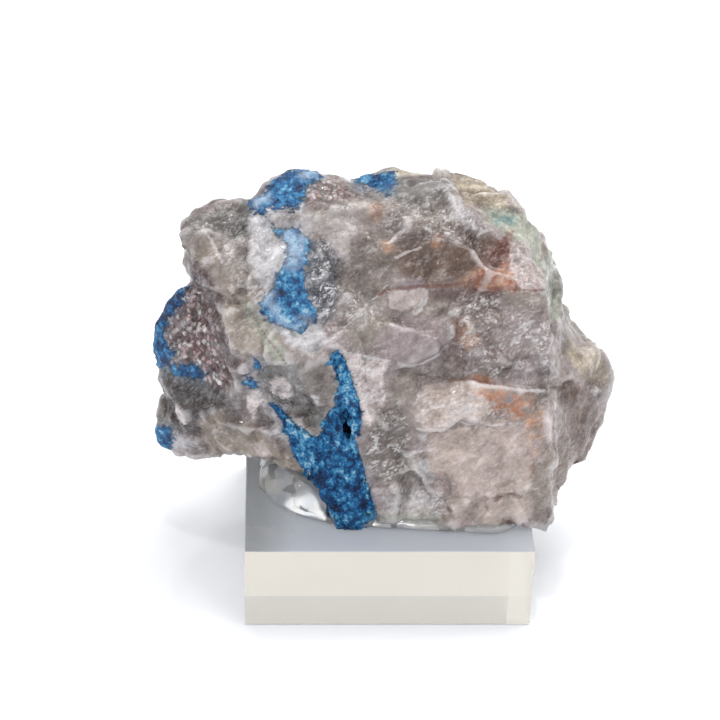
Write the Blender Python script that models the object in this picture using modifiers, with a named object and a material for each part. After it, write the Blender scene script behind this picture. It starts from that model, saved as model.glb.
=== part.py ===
"""A rough piece of quartz with veins and crusts of blue shattuckite, glued to a clear acrylic block.

Run it with blender --background --python part.py, or from Blender's text editor. Metres, +Z up.
The origin is the centre of the block's underside, and the stone's main face looks towards -Y.
"""

import bmesh
import bpy
from mathutils import Vector

MM = 0.001

# Driving dimensions
BLOCK_WIDTH = 40 * MM
BLOCK_HEIGHT = 12.7 * MM
BLOCK_BEVEL = 0.35 * MM
CLEARANCE = 0.32 * MM
CRUST_CLEARANCE = 0.45 * MM
GLUE_FLOOR_MM = 13.0
GLUE_TOP_MM = 18.5
SEAT_WIDTH = 41 * MM
STONE_SEAT = 13.9 * MM
CRUST_SEAT = 13.35 * MM

# How finely each rough surface is worked out, and how many triangles of it are kept
STONE_VOXEL = 0.6 * MM
STONE_TRIANGLES = 6700
CRUST_VOXEL = 0.35 * MM
CRUST_TRIANGLES = 1300

# The stone is a union of chunks. Each chunk is the hull of its corners, in millimetres.
CHUNKS = {
    "main_mass": (
        (22.6, -14.8, 12.9), (21.5, -15.5, 14), (11, -16, 14), (-1.5, -15, 14), (22, -13, 28),
        (-3.5, -13, 28), (22.3, -12, 34), (-5.5, -11.5, 35.5), (21.5, -6, 44.5), (-9.5, -6, 46),
        (18.5, -3, 48.5), (13.2, 1, 52.8), (9.5, 3, 54.7), (7, 4, 55.4), (2.5, 4, 55.1), (-4.5, 3, 55),
        (-10.7, 1, 54), (14, 14, 49), (-4, 16, 50), (18, 21, 32), (-9, 23, 31), (16, 18, 17),
        (-8, 19, 16), (24, 3, 26), (23, 0, 15),
    ),
    "left_shoulder": (
        (-29, 3.2, 51.9), (-26.7, 5, 52.2), (-21.5, 6, 53), (-10.5, 2, 54), (-28.4, 0.5, 46),
        (-20.8, -7, 39.3), (-17.8, -9, 37.9), (-7.3, -11.4, 38), (-9.5, -6, 46), (-25, 13, 47),
        (-8, 17, 49), (-23, 15, 34), (-6, 19, 34), (-27.5, 5, 42),
    ),
    "left_flank": (
        (-27.8, 3, 41.9), (-31, 5, 36.4), (-33, 6, 29.9), (-32.6, 5, 21), (-33, 2, 15.3), (-30.2, 2, 14.6),
        (-19.8, -5, 15.4), (-10.8, -9.4, 16.2), (-6, -12, 35), (-7.3, -11.6, 38), (-17.8, -9.2, 38.4),
        (-20.8, -7.2, 39.8), (-26, -3, 36), (-29, 15, 32), (-28, 14, 19), (-6, 20, 17), (-8, 22, 33),
    ),
    "vein_foot": (
        (-9.6, -11.2, 15.2), (-8.3, -13.4, 14.3), (-7.1, -15.6, 13.9), (-5.1, -16.1, 13.9), (-1.5, -15.2, 14),
        (-13, -9.4, 22), (-12, -6, 17), (-6, -11.8, 34), (-3.5, -12.8, 28), (-2, -4, 15),
    ),
    "top_ridge": (
        (-19, 7, 53.8), (-16, 10, 55.1), (-12.2, 11, 55.1), (-5.3, 11, 53.6), (-10, 3, 54.4),
        (-18, 5, 53.2), (-4, 5, 54.8), (-16, 16, 50), (-6, 18, 49), (-12, 10, 44),
    ),
    "back_crest": (
        (-1.5, 15, 53), (5.1, 14, 53.5), (13, 13, 54), (15.3, 11, 52), (21.2, 6, 48.6), (22.4, 6, 45.8),
        (8, 6, 52), (-1, 8, 52), (0, 22, 46), (14, 19, 46), (20, 14, 40), (4, 20, 34),
    ),
    "right_shoulder": (
        (21.2, 5, 48.2), (22.3, 6, 45.6), (22.4, 6, 40), (25.4, 3, 33.8), (20.5, -4, 45), (22.2, -8, 36),
        (22.6, -6, 30), (23, 14, 37), (21, 15, 42), (26, 10, 31), (16, 16, 36),
    ),
    "corner_slope": (
        (13.1, 1.2, 52.3), (19.3, -1.2, 49), (21.4, -3.4, 45.2), (22.2, 4, 45.9), (21.2, 5.8, 48.3),
        (16, 8, 50.6), (14, 5, 46), (19, 3, 41),
    ),
    "right_wing": (
        (24.5, 3, 36.5), (26.4, 3, 33.8), (29.8, 3, 30.9), (32.1, 3, 26.8), (31.6, 2, 22.4), (30.9, 1, 19),
        (29.5, -1, 15.7), (27.4, -3, 14.6), (25.3, -5, 13.8), (22.8, -10, 13.5), (21.8, -9, 32), (23, -2, 36),
        (25.2, 12, 32), (28, 13, 20), (20, 17, 28), (22, 12, 16),
    ),
}

# Conchoidal scars, in millimetres: a point, the direction out of the stone, the ball's radius
# and how deep the ball is sunk
SCARS = (
    ((-21, -3, 15.5), (0.1, -0.5, -1), 16, 1.6),
    ((-15, -8, 29), (-0.35, -1, -0.1), 26, 0.7),
    ((-26, -2, 31), (-0.8, -1, 0.05), 20, 0.9),
    ((-15, -6, 44), (-0.35, -1, 0.55), 30, 0.7),
    ((2, -5, 48), (-0.1, -1, 0.75), 40, 0.8),
    ((14, -9.5, 40), (0.15, -1, 0.35), 26, 0.7),
    ((28.5, -4, 24), (0.9, -0.9, 0), 12, 1.5),
    ((24, -3, 44), (1, -0.5, 0.3), 20, 0.6),
    ((27, 2, 35), (0.8, -0.2, 0.6), 9, 0.6),
    ((26, 14, 34), (1, 0.7, 0.3), 18, 1.8),
    ((-22, 14, 44), (-0.6, 1, 0.3), 22, 2.0),
    ((6, 22, 36), (0.1, 1, 0.1), 30, 1.6),
    ((-18, 20, 24), (-0.4, 1, -0.1), 20, 1.8),
    ((22, 17, 22), (0.7, 1, -0.1), 18, 1.5),
    ((4, 12, 53.8), (0, 0.3, 1), 26, 0.8),
    ((-31, 10, 25), (-1, 0.2, 0), 16, 1.4),
)

# Broken steps across the main face, in millimetres: the edge's points, the way to the sunken side
# and how deep it is sunk
LEDGES = {
    "red_seam": (
        ((-0.5, -5.5, 45.7), (4.1, -5.4, 46), (8, -5.2, 46.2), (14.5, -4.6, 46)), (0, -2.5, -4), 0.9,
    ),
    "curved_step": (
        ((9, -8.4, 41), (5, -9.5, 38.2), (1.3, -10.7, 36.5), (-0.5, -10.7, 36.9)), (2, -1.6, -6), 1.1,
    ),
    "shelf": (((7.4, -11.5, 34.9), (13.8, -11.7, 34.5), (21.9, -11.3, 33.9)), (0, 2, 7), 1.1),
    "lower_step": (((3.4, -13.2, 28.2), (8, -13, 28.5), (15.3, -13.1, 28.9)), (0, -1.4, -9), 0.8),
    "smoky_notch": (((-1.5, -13.2, 29), (1.2, -13, 29)), (0.4, -1, -8), 0.9),
}
LEDGE_OUT = Vector((0.03, -0.93, 0.36))
LEDGE_ROOF = 4 * MM

# The hollow that the lower vein fills: its rim on the stone's face, in millimetres
CLEFT_RIMS = {
    "cleft_upper": (
        (-8.1, -11, 38.6), (-6.9, -11.2, 38.6), (-5.4, -12, 35.3), (-4.3, -12.4, 32.2), (-4.2, -13, 27.6),
        (-9.6, -10.6, 27.2), (-8.4, -10.6, 30.8),
    ),
    "cleft_lower": (
        (-14.6, -9, 28), (-14.8, -9, 25.2), (-13, -9.5, 21.8), (-10.7, -10.4, 18.2), (-8.3, -13, 14.2),
        (-7.1, -15.4, 12.6), (-5.1, -16, 12.4), (-1.6, -15, 13.4), (-3.4, -14, 20.7), (-4.6, -13, 25.3),
        (-4.2, -13, 29.4), (-9.6, -10.6, 27.4),
    ),
}
CLEFT_DEPTH = 3.4 * MM
CLEFT_LIP = 2.5 * MM
CLEFT_TAPER = 0.9
CRUST_SINK = 0.7 * MM
CRUST_SHRINK = 0.94
INTO_FACE = Vector((0.12, 0.96, -0.25)).normalized()

# The dark vug that opens in the vein
VUG_CENTRE = Vector((-5.7, -10.6, 27.8)) * MM
VUG_HALF_SIZES = Vector((0.75, 3.2, 1.75)) * MM

# The shattuckite that stands proud of the quartz, in millimetres: a bead's radius
# and the run that the beads follow
RAISED_CRUSTS = {
    "left_rind": (
        1.4, ((-28.6, 4, 38.6), (-30.3, 4.6, 35.6), (-31.3, 5, 32.3), (-31.4, 5, 28.6), (-30.7, 4.4, 25.9)),
    ),
    "lower_corner": (1.4, ((-31.6, 3, 16.6), (-30.8, 6, 16.8))),
    "top_cap": (
        1.9, ((-17.3, 5.2, 52.6), (-16, 7.8, 53.4), (-13.6, 9.2, 53.8), (-11.6, 9.6, 53.7), (-14.4, 6, 53.4)),
    ),
    "crest_cap": (1.5, ((-3.4, 13.4, 51.8), (-1, 13.4, 52.1), (1, 14, 52.1))),
    "back_vein": (1.6, ((6, 20.6, 44), (4, 21.2, 38), (0, 21.6, 33), (-2, 21.2, 28), (-1, 20, 22))),
}
BEAD_SPACING = 0.8
BEAD_SIZES = (0.82, 1.0, 1.18, 0.91, 1.09)

# Where the glue's edge lies on the block, in millimetres, and how far it narrows by its top
GLUE_RIM = (
    (-18.3, -2), (-18.2, -5.4), (-16.5, -8.2), (-14.4, -10.7), (-12.3, -12.1), (-9.6, -13.4), (-7, -14.6),
    (8.6, -14.8), (11.3, -15.8), (14, -16.3), (16.8, -15.8), (18.5, -14), (18.8, -6), (18, 7), (10, 14),
    (-6, 15), (-15, 9.5), (-18, 3),
)
GLUE_WAIST = 0.8


def remove_all_objects():
    for obj in list(bpy.data.objects):
        bpy.data.objects.remove(obj, do_unlink=True)


def new_collection(name):
    collection = bpy.data.collections.new(name)
    bpy.context.scene.collection.children.link(collection)
    return collection


def material(name, colour, roughness, transmission=0.0, ior=1.5):
    made = bpy.data.materials.new(name)
    made.use_nodes = True
    shader = made.node_tree.nodes["Principled BSDF"]
    shader.inputs["Base Color"].default_value = (*colour, 1)
    shader.inputs["Roughness"].default_value = roughness
    shader.inputs["Metallic"].default_value = 0
    shader.inputs["Transmission Weight"].default_value = transmission
    shader.inputs["IOR"].default_value = ior
    return made


def in_metres(points):
    return [Vector(point) * MM for point in points]


def add_object(name, form, collection):
    """A new object holding the bmesh form, which is freed."""
    bmesh.ops.recalc_face_normals(form, faces=form.faces)
    mesh = bpy.data.meshes.new(name)
    form.to_mesh(mesh)
    form.free()
    made = bpy.data.objects.new(name, mesh)
    collection.objects.link(made)
    return made


def add_hull(name, points, collection):
    """The convex hull of points."""
    form = bmesh.new()
    for point in points:
        form.verts.new(point)
    made = bmesh.ops.convex_hull(form, input=form.verts)
    inside = [item for item in made["geom_interior"] if isinstance(item, bmesh.types.BMVert)]
    bmesh.ops.delete(form, geom=inside, context="VERTS")
    return add_object(name, form, collection)


def add_box(name, size, collection):
    """A box of this size, standing on the origin."""
    form = bmesh.new()
    bmesh.ops.create_cube(form, size=1)
    bmesh.ops.scale(form, vec=size, verts=form.verts)
    bmesh.ops.translate(form, vec=(0, 0, size[2] / 2), verts=form.verts)
    return add_object(name, form, collection)


def add_ball(name, centre, half_sizes, collection, subdivisions=3):
    form = bmesh.new()
    bmesh.ops.create_icosphere(form, subdivisions=subdivisions, radius=1)
    bmesh.ops.scale(form, vec=half_sizes, verts=form.verts)
    bmesh.ops.translate(form, vec=centre, verts=form.verts)
    return add_object(name, form, collection)


def bake_modifiers(obj):
    """Puts the evaluated mesh in place of the object's own, and clears its modifiers."""
    graph = bpy.context.evaluated_depsgraph_get()
    mesh = bpy.data.meshes.new_from_object(obj.evaluated_get(graph))
    obj.modifiers.clear()
    obj.data = mesh


def combine(target, other, operation):
    """A Boolean of target with other, applied. The other object is used up."""
    other.hide_render = True
    other.display_type = "WIRE"
    modifier = target.modifiers.new(operation.lower(), "BOOLEAN")
    modifier.operation = operation
    modifier.solver = "EXACT"
    modifier.use_self = True
    modifier.object = other
    bake_modifiers(target)
    bpy.data.objects.remove(other, do_unlink=True)


def remesh(obj, voxel):
    modifier = obj.modifiers.new("remesh", "REMESH")
    modifier.mode = "VOXEL"
    modifier.voxel_size = voxel
    modifier.adaptivity = 0
    bake_modifiers(obj)


def roughen(obj, name, size, height):
    """Pushes the surface in and out by up to half of height, with lumps about size across."""
    texture = bpy.data.textures.new(name, "CLOUDS")
    texture.noise_scale = size
    texture.noise_depth = 2
    modifier = obj.modifiers.new(name, "DISPLACE")
    modifier.texture = texture
    modifier.texture_coords = "LOCAL"
    modifier.strength = height
    modifier.mid_level = 0.5
    bake_modifiers(obj)


def thin_out(obj, triangles):
    """Leaves about this many triangles, the most of them where the surface bends."""
    modifier = obj.modifiers.new("decimate", "DECIMATE")
    modifier.ratio = triangles / (2 * len(obj.data.polygons))
    modifier.use_collapse_triangulate = True
    bake_modifiers(obj)


def keep_largest_body(obj):
    """Removes the crumbs that a cut has left beside the main body."""
    form = bmesh.new()
    form.from_mesh(obj.data)
    unseen = set(form.verts)
    bodies = []
    while unseen:
        body = {unseen.pop()}
        front = list(body)
        while front:
            near = {vert for reached in front for edge in reached.link_edges for vert in edge.verts}
            front = list(near - body)
            body |= near
        unseen -= body
        bodies.append(body)
    bodies.sort(key=len)
    crumbs = [vert for body in bodies[:-1] for vert in body]
    bmesh.ops.delete(form, geom=crumbs, context="VERTS")
    form.to_mesh(obj.data)
    form.free()


def swollen_copy(obj, collection, by):
    """A copy of obj grown outwards by this much, to cut a neighbour clear of it."""
    copy = bpy.data.objects.new(obj.name + "_swollen", obj.data.copy())
    collection.objects.link(copy)
    modifier = copy.modifiers.new("swell", "DISPLACE")
    modifier.strength = by
    modifier.mid_level = 0
    bake_modifiers(copy)
    return copy


def add_scar(name, scar, collection):
    """A ball that meets the surface from outside, and sinks into it by the scar's depth."""
    point, out, radius, depth = scar
    centre = Vector(point) + Vector(out).normalized() * (radius - depth)
    return add_ball(name, centre * MM, (radius * MM,) * 3, collection, subdivisions=4)


def cut_ledge(stone, name, ledge, collection):
    """Cuts a wedge beside each stretch of the ledge: full depth at its edge, and none at the far side."""
    edge, away, depth = ledge
    away = Vector(away) * MM
    for start, end in zip(in_metres(edge), in_metres(edge[1:])):
        floor = [point - LEDGE_OUT * depth * MM for point in (start, end)]
        far = [point + away for point in (start, end)]
        roof = [point + LEDGE_OUT * LEDGE_ROOF for point in (start, end, *far)]
        combine(stone, add_hull(name, floor + far + roof, collection), "DIFFERENCE")


def add_pocket(name, rim, out, into, collection, shrink=1.0):
    """The hull of a rim on the stone's face, pushed out of the face and into it."""
    middle = sum(rim, Vector()) / len(rim)
    mouth = [middle + (point - middle) * shrink - INTO_FACE * out for point in rim]
    floor = [middle + (point - middle) * shrink * CLEFT_TAPER + INTO_FACE * into for point in rim]
    return add_hull(name, mouth + floor, collection)


def add_vug(cutters):
    return add_ball("vug", VUG_CENTRE, VUG_HALF_SIZES, cutters)


def add_beads(name, radius, run, collection):
    """Overlapping balls of several sizes along a run of points, which make a knobbly crust."""
    crust = None
    for start, end in zip(run, run[1:]):
        steps = max(1, round((end - start).length / (radius * BEAD_SPACING)))
        for step in range(steps + 1):
            size = radius * BEAD_SIZES[step % len(BEAD_SIZES)]
            bead = add_ball(name, start.lerp(end, step / steps), (size,) * 3, collection, subdivisions=2)
            if crust is None:
                crust = bead
            else:
                combine(crust, bead, "UNION")
    return crust


def finish(obj, name, parts, look):
    """Names a piece, gives it its material and puts it with the parts."""
    obj.name = name
    obj.data.name = name
    obj.data.materials.clear()
    obj.data.materials.append(look)
    for collection in list(obj.users_collection):
        collection.objects.unlink(obj)
    parts.objects.link(obj)
    return obj


def build_block(parts):
    block = add_box("block", (BLOCK_WIDTH, BLOCK_WIDTH, BLOCK_HEIGHT), parts)
    bevel = block.modifiers.new("bevel", "BEVEL")
    bevel.width = BLOCK_BEVEL
    bevel.segments = 2
    return finish(block, "acrylic_block", parts, material("clear_acrylic", (1, 1, 1), 0.02, 1.0, 1.49))


def build_stone(parts, cutters):
    """The quartz: its chunks joined, its scars, ledges and hollow cut, and its skin roughened."""
    chunks = [add_hull(name, in_metres(corners), cutters) for name, corners in CHUNKS.items()]
    stone = chunks[0]
    for chunk in chunks[1:]:
        combine(stone, chunk, "UNION")
    for scar in SCARS:
        combine(stone, add_scar("scar", scar, cutters), "DIFFERENCE")
    for name, ledge in LEDGES.items():
        cut_ledge(stone, name, ledge, cutters)
    for name, (radius, run) in RAISED_CRUSTS.items():
        combine(stone, add_beads(name, radius * MM, in_metres(run), cutters), "UNION")
    remesh(stone, STONE_VOXEL)
    roughen(stone, "broad_lumps", 9 * MM, 1.2 * MM)
    roughen(stone, "small_lumps", 2.6 * MM, 0.7 * MM)
    hollow = add_box("seat", (SEAT_WIDTH, SEAT_WIDTH, STONE_SEAT), cutters)
    for name, rim in CLEFT_RIMS.items():
        combine(hollow, add_pocket(name, in_metres(rim), CLEFT_LIP, CLEFT_DEPTH, cutters), "UNION")
    combine(hollow, add_vug(cutters), "UNION")
    combine(stone, hollow, "DIFFERENCE")
    remesh(stone, STONE_VOXEL)
    keep_largest_body(stone)
    thin_out(stone, STONE_TRIANGLES)
    return finish(stone, "quartz_stone", parts, material("cloudy_quartz", (0.58, 0.53, 0.5), 0.35))


def build_crust(stone, parts, cutters):
    """The shattuckite that lines the hollow, with the vug open in it."""
    fills = [
        add_pocket(name, in_metres(rim), -CRUST_SINK, CLEFT_DEPTH, cutters, CRUST_SHRINK)
        for name, rim in CLEFT_RIMS.items()
    ]
    crust = fills[0]
    combine(crust, fills[1], "UNION")
    remesh(crust, CRUST_VOXEL)
    roughen(crust, "crust_lumps", 2.4 * MM, 1.7 * MM)
    combine(crust, add_vug(cutters), "DIFFERENCE")
    combine(crust, add_box("seat", (SEAT_WIDTH, SEAT_WIDTH, CRUST_SEAT), cutters), "DIFFERENCE")
    combine(crust, swollen_copy(stone, cutters, CRUST_CLEARANCE), "DIFFERENCE")
    remesh(crust, CRUST_VOXEL)
    keep_largest_body(crust)
    thin_out(crust, CRUST_TRIANGLES)
    return finish(crust, "shattuckite_crust", parts, material("shattuckite", (0.03, 0.2, 0.5), 0.6))


def build_glue(stone, crust, parts, cutters):
    """Clear mounting glue: a low mound on the block, filling up to the stone's underside."""
    foot = in_metres((x, y, GLUE_FLOOR_MM) for x, y in GLUE_RIM)
    waist = in_metres((x * GLUE_WAIST, y * GLUE_WAIST, GLUE_TOP_MM) for x, y in GLUE_RIM)
    glue = add_hull("mound", foot + waist, cutters)
    combine(glue, swollen_copy(stone, cutters, CLEARANCE), "DIFFERENCE")
    combine(glue, swollen_copy(crust, cutters, CLEARANCE), "DIFFERENCE")
    keep_largest_body(glue)
    return finish(glue, "mounting_glue", parts, material("clear_glue", (0.95, 0.95, 0.92), 0.05, 1.0, 1.49))


def main():
    remove_all_objects()
    parts = new_collection("shattuckite_specimen")
    cutters = new_collection("cutters")
    build_block(parts)
    stone = build_stone(parts, cutters)
    crust = build_crust(stone, parts, cutters)
    build_glue(stone, crust, parts, cutters)


main()
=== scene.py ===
import math
import bpy
import numpy as np
from mathutils import Matrix, Vector, noise
from mathutils.bvhtree import BVHTree


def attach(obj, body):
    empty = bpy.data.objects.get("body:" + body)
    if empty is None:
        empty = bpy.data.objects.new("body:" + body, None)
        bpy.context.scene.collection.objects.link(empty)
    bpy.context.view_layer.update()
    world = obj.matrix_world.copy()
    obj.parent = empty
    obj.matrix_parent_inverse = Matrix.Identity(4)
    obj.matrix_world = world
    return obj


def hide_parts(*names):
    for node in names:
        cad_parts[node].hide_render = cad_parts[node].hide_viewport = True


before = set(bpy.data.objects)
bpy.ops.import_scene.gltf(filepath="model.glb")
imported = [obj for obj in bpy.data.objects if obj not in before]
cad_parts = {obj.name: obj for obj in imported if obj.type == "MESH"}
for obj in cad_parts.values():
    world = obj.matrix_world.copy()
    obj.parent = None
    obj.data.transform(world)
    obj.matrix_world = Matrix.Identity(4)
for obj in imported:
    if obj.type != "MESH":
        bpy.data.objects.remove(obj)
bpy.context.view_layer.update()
print("stage: packed model loaded")

millimetre = 0.001


# small helpers for meshes

def selectOnly(piece):
    if bpy.context.mode != "OBJECT":
        bpy.ops.object.mode_set(mode="OBJECT")
    bpy.ops.object.select_all(action="DESELECT")
    piece.select_set(True)
    bpy.context.view_layer.objects.active = piece


def useModifier(piece, kind, **settings):
    selectOnly(piece)
    modifier = piece.modifiers.new(kind.lower(), kind)
    for name, value in settings.items():
        setattr(modifier, name, value)
    bpy.ops.object.modifier_apply(modifier=modifier.name)


def weldedCopy(nodeName, pieceName):
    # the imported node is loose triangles, so its copy is merged into one closed skin
    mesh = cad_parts[nodeName].data.copy()
    mesh.materials.clear()
    piece = bpy.data.objects.new(pieceName, mesh)
    bpy.context.scene.collection.objects.link(piece)
    selectOnly(piece)
    bpy.ops.object.mode_set(mode="EDIT")
    bpy.ops.mesh.select_all(action="SELECT")
    bpy.ops.mesh.remove_doubles(threshold=0.000005)
    bpy.ops.object.mode_set(mode="OBJECT")
    return piece


def readPoints(piece):
    points = np.empty(len(piece.data.vertices) * 3)
    piece.data.vertices.foreach_get("co", points)
    return points.reshape(-1, 3)


def writePoints(piece, points):
    piece.data.vertices.foreach_set("co", points.ravel())
    piece.data.update()


def readNormals(piece):
    normals = np.empty(len(piece.data.vertices) * 3)
    piece.data.vertex_normals.foreach_get("vector", normals)
    return normals.reshape(-1, 3)


def neighbourMean(piece, values):
    # mean of each vertex's neighbours, for one column or several
    edges = np.empty(len(piece.data.edges) * 2, int)
    piece.data.edges.foreach_get("vertices", edges)
    first, second = edges[0::2], edges[1::2]
    count = len(piece.data.vertices)
    shares = np.bincount(first, minlength=count) + np.bincount(second, minlength=count)
    columns = values.reshape(count, -1)
    means = np.empty_like(columns, float)
    for i in range(columns.shape[1]):
        total = np.bincount(first, columns[second, i], count) + np.bincount(second, columns[first, i], count)
        means[:, i] = total / np.maximum(shares, 1)
    return means.reshape(values.shape)


def deletePoints(piece, chosen):
    selectOnly(piece)
    bpy.ops.object.mode_set(mode="EDIT")
    bpy.ops.mesh.select_mode(type="VERT")
    bpy.ops.mesh.select_all(action="DESELECT")
    bpy.ops.object.mode_set(mode="OBJECT")
    piece.data.vertices.foreach_set("select", chosen)
    bpy.ops.object.mode_set(mode="EDIT")
    bpy.ops.mesh.delete(type="VERT")
    bpy.ops.object.mode_set(mode="OBJECT")


def dropCrumbs(piece):
    # deletes every loose body but the largest
    edges = np.zeros(len(piece.data.edges) * 2, int)
    piece.data.edges.foreach_get("vertices", edges)
    first, second = edges.reshape(-1, 2).T
    label, before = np.arange(len(piece.data.vertices)), None
    while before is None or (label != before).any():
        before = label.copy()
        lower = np.minimum(label[first], label[second])
        np.minimum.at(label, first, lower)
        np.minimum.at(label, second, lower)
        label = label[label]
    deletePoints(piece, label != np.bincount(label).argmax())


def noiseAt(points, size, octaves=3, offset=0.0):
    # soft random values of about -1 to 1, with lumps of the given size in metres
    shift = Vector((offset, offset * 0.7, -offset))
    return np.array([noise.fractal(Vector(p) / size + shift, 0.7, 2.0, octaves) for p in points])


def grainsAt(points, size, offset=0.0):
    # rounded grains: 1 in the middle of each grain and 0 between them
    shift = Vector((offset, -offset, offset * 0.5))
    return np.array([1.0 - min(noise.voronoi(Vector(p) / size + shift)[0][0], 1.0) for p in points])


def keepAttribute(piece, name, values):
    attribute = piece.data.attributes.new(name, "FLOAT", "POINT")
    attribute.data.foreach_set("value", np.clip(values, 0, 1).astype(np.float32))


# camera and studio

photoCamera = {
    "imageSize": 720,
    "lens": 120.3,
    "turn": -2.84,  # degrees round the block, where 0 looks straight at its front
    "height": 31.17,  # degrees above the floor
    "roll": 1.7085,
    "aim": (-0.004, 0.0, 0.03121),
    "distance": 0.33752,
}

studio = {
    "worldTint": (1.0, 0.98, 0.955),
    "worldStrength": 0.79,
    "floorSize": 8.0,
    "airUnderBlock": 0.00005,
    "boxes": {
        # name: (place, aim, size, power, tint)
        "overheadBox": ((0.14, 0.22, 0.6), (0, 0, 0.03), 0.34, 1.9, (1.0, 0.985, 0.96)),
        "frontBox": ((-0.22, -0.62, 0.42), (0, 0, 0.03), 0.30, 0.45, (1.0, 0.98, 0.96)),
        "leftLamp": ((-0.42, -0.16, 0.42), (0, 0, 0.03), 0.045, 0.32, (1.0, 1.0, 1.0)),
        "rightLamp": ((0.36, -0.22, 0.46), (0, 0, 0.03), 0.045, 0.32, (1.0, 0.97, 0.93)),
        "highLamp": ((-0.05, -0.12, 0.66), (0, 0, 0.03), 0.05, 0.48, (1.0, 1.0, 1.0)),
        "farLamp": ((-0.16, 0.30, 0.55), (0, 0, 0.03), 0.05, 0.32, (1.0, 1.0, 1.0)),
        "sideLamp": ((0.5, 0.1, 0.32), (0, 0, 0.03), 0.05, 0.24, (1.0, 1.0, 1.0)),
        },
}


def cameraAxes():
    turn, height, roll = (math.radians(photoCamera[k]) for k in ("turn", "height", "roll"))
    back = Vector((math.sin(turn) * math.cos(height), -math.cos(turn) * math.cos(height), math.sin(height)))
    right = Vector((math.cos(turn), math.sin(turn), 0))
    up = back.cross(right)
    return (math.cos(roll) * right + math.sin(roll) * up,
            math.cos(roll) * up - math.sin(roll) * right, back)


def cameraPlace():
    return Vector(photoCamera["aim"]) + cameraAxes()[2] * photoCamera["distance"]


def photoRay(px, py):
    # the direction in which the camera sees a pixel of the photograph
    right, up, back = cameraAxes()
    focal = photoCamera["lens"] / 36 * photoCamera["imageSize"]
    middle = photoCamera["imageSize"] / 2
    return (right * (px - middle) / focal - up * (py - middle) / focal - back).normalized()


def addCamera():
    bpy.ops.object.camera_add()
    camera = bpy.context.object
    camera.name = "photoCamera"
    camera.data.lens = photoCamera["lens"]
    camera.data.sensor_width = 36
    camera.data.clip_start = 0.01
    right, up, back = cameraAxes()
    matrix = Matrix((right, up, back)).transposed().to_4x4()
    matrix.translation = cameraPlace()
    camera.matrix_world = matrix
    bpy.context.scene.camera = camera


def addStudio():
    scene = bpy.context.scene
    scene.view_settings.view_transform = "Standard"
    world = bpy.data.worlds.new("studioWorld")
    world.use_nodes = True
    background = world.node_tree.nodes["Background"]
    background.inputs["Color"].default_value = (*studio["worldTint"], 1)
    background.inputs["Strength"].default_value = studio["worldStrength"]
    scene.world = world
    for name, (place, aim, size, power, tint) in studio["boxes"].items():
        bpy.ops.object.light_add(type="AREA", location=place)
        lamp = bpy.context.object
        lamp.name = name
        lamp.data.size = size
        lamp.data.energy = power
        lamp.data.color = tint
        lamp.rotation_euler = (Vector(aim) - Vector(place)).to_track_quat("-Z", "Y").to_euler()
    bpy.ops.mesh.primitive_plane_add(size=studio["floorSize"], location=(0, 0, -studio["airUnderBlock"]))
    floor = bpy.context.object
    floor.name = "paleFloor"
    floor.data.materials.append(floorMaterial())


# small helpers for materials

def paint(red, green, blue):
    # a colour as it is picked on screen, 0 to 255, turned into the linear values that nodes take
    def linear(value):
        value /= 255
        return value / 12.92 if value <= 0.04045 else ((value + 0.055) / 1.055) ** 2.4
    return (linear(red), linear(green), linear(blue), 1)


def place(tree, kind, sockets=None, **settings):
    # adds a node, sets it, and fills its inputs with values or with the outputs of other nodes
    node = tree.nodes.new(kind)
    for name, value in settings.items():
        setattr(node, name, value)
    for name, value in (sockets or {}).items():
        if isinstance(value, bpy.types.NodeSocket):
            tree.links.new(value, node.inputs[name])
        else:
            node.inputs[name].default_value = value
    return node


def mathNode(tree, operation, first, second=0.0, clamp=False):
    return place(tree, "ShaderNodeMath", {0: first, 1: second}, operation=operation, use_clamp=clamp).outputs[0]


def mixPaint(tree, share, first, second, blend="MIX"):
    return place(tree, "ShaderNodeMix", {0: share, 6: first, 7: second},
                 data_type="RGBA", blend_type=blend).outputs[2]


def spread(tree, value, low, high, toLow=0.0, toHigh=1.0):
    return place(tree, "ShaderNodeMapRange", {0: value, 1: low, 2: high, 3: toLow, 4: toHigh},
                 interpolation_type="SMOOTHSTEP").outputs[0]


def noiseNode(tree, vector, size, detail=3.0, roughness=0.55, distortion=0.0):
    # lumps of about the given size in millimetres
    return place(tree, "ShaderNodeTexNoise", {
        "Vector": vector, "Scale": 1000 / size, "Detail": detail, "Roughness": roughness, "Distortion": distortion,
    }).outputs[0]


def attributeNode(tree, name):
    return place(tree, "ShaderNodeAttribute", attribute_name=name).outputs["Fac"]


def newMaterial(name, **values):
    material = bpy.data.materials.new(name)
    material.use_nodes = True
    shader = material.node_tree.nodes["Principled BSDF"]
    for socket, value in values.items():
        shader.inputs[socket.replace("_", " ")].default_value = value
    coords = place(material.node_tree, "ShaderNodeTexCoord").outputs["Object"]
    return material, material.node_tree, shader, coords


def newGroup(name, inputs, outputs):
    tree = bpy.data.node_groups.new(name, "ShaderNodeTree")
    for label, kind, value in inputs:
        socket = tree.interface.new_socket(label, in_out="INPUT", socket_type=kind)
        if value is not None:
            socket.default_value = value
    for label, kind in outputs:
        tree.interface.new_socket(label, in_out="OUTPUT", socket_type=kind)
    return tree, tree.nodes.new("NodeGroupInput").outputs, tree.nodes.new("NodeGroupOutput").inputs


def placeGroup(tree, group, sockets):
    node = tree.nodes.new("ShaderNodeGroup")
    node.node_tree = group
    for name, value in sockets.items():
        if isinstance(value, bpy.types.NodeSocket):
            tree.links.new(value, node.inputs[name])
        else:
            node.inputs[name].default_value = value
    return node.outputs


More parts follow.
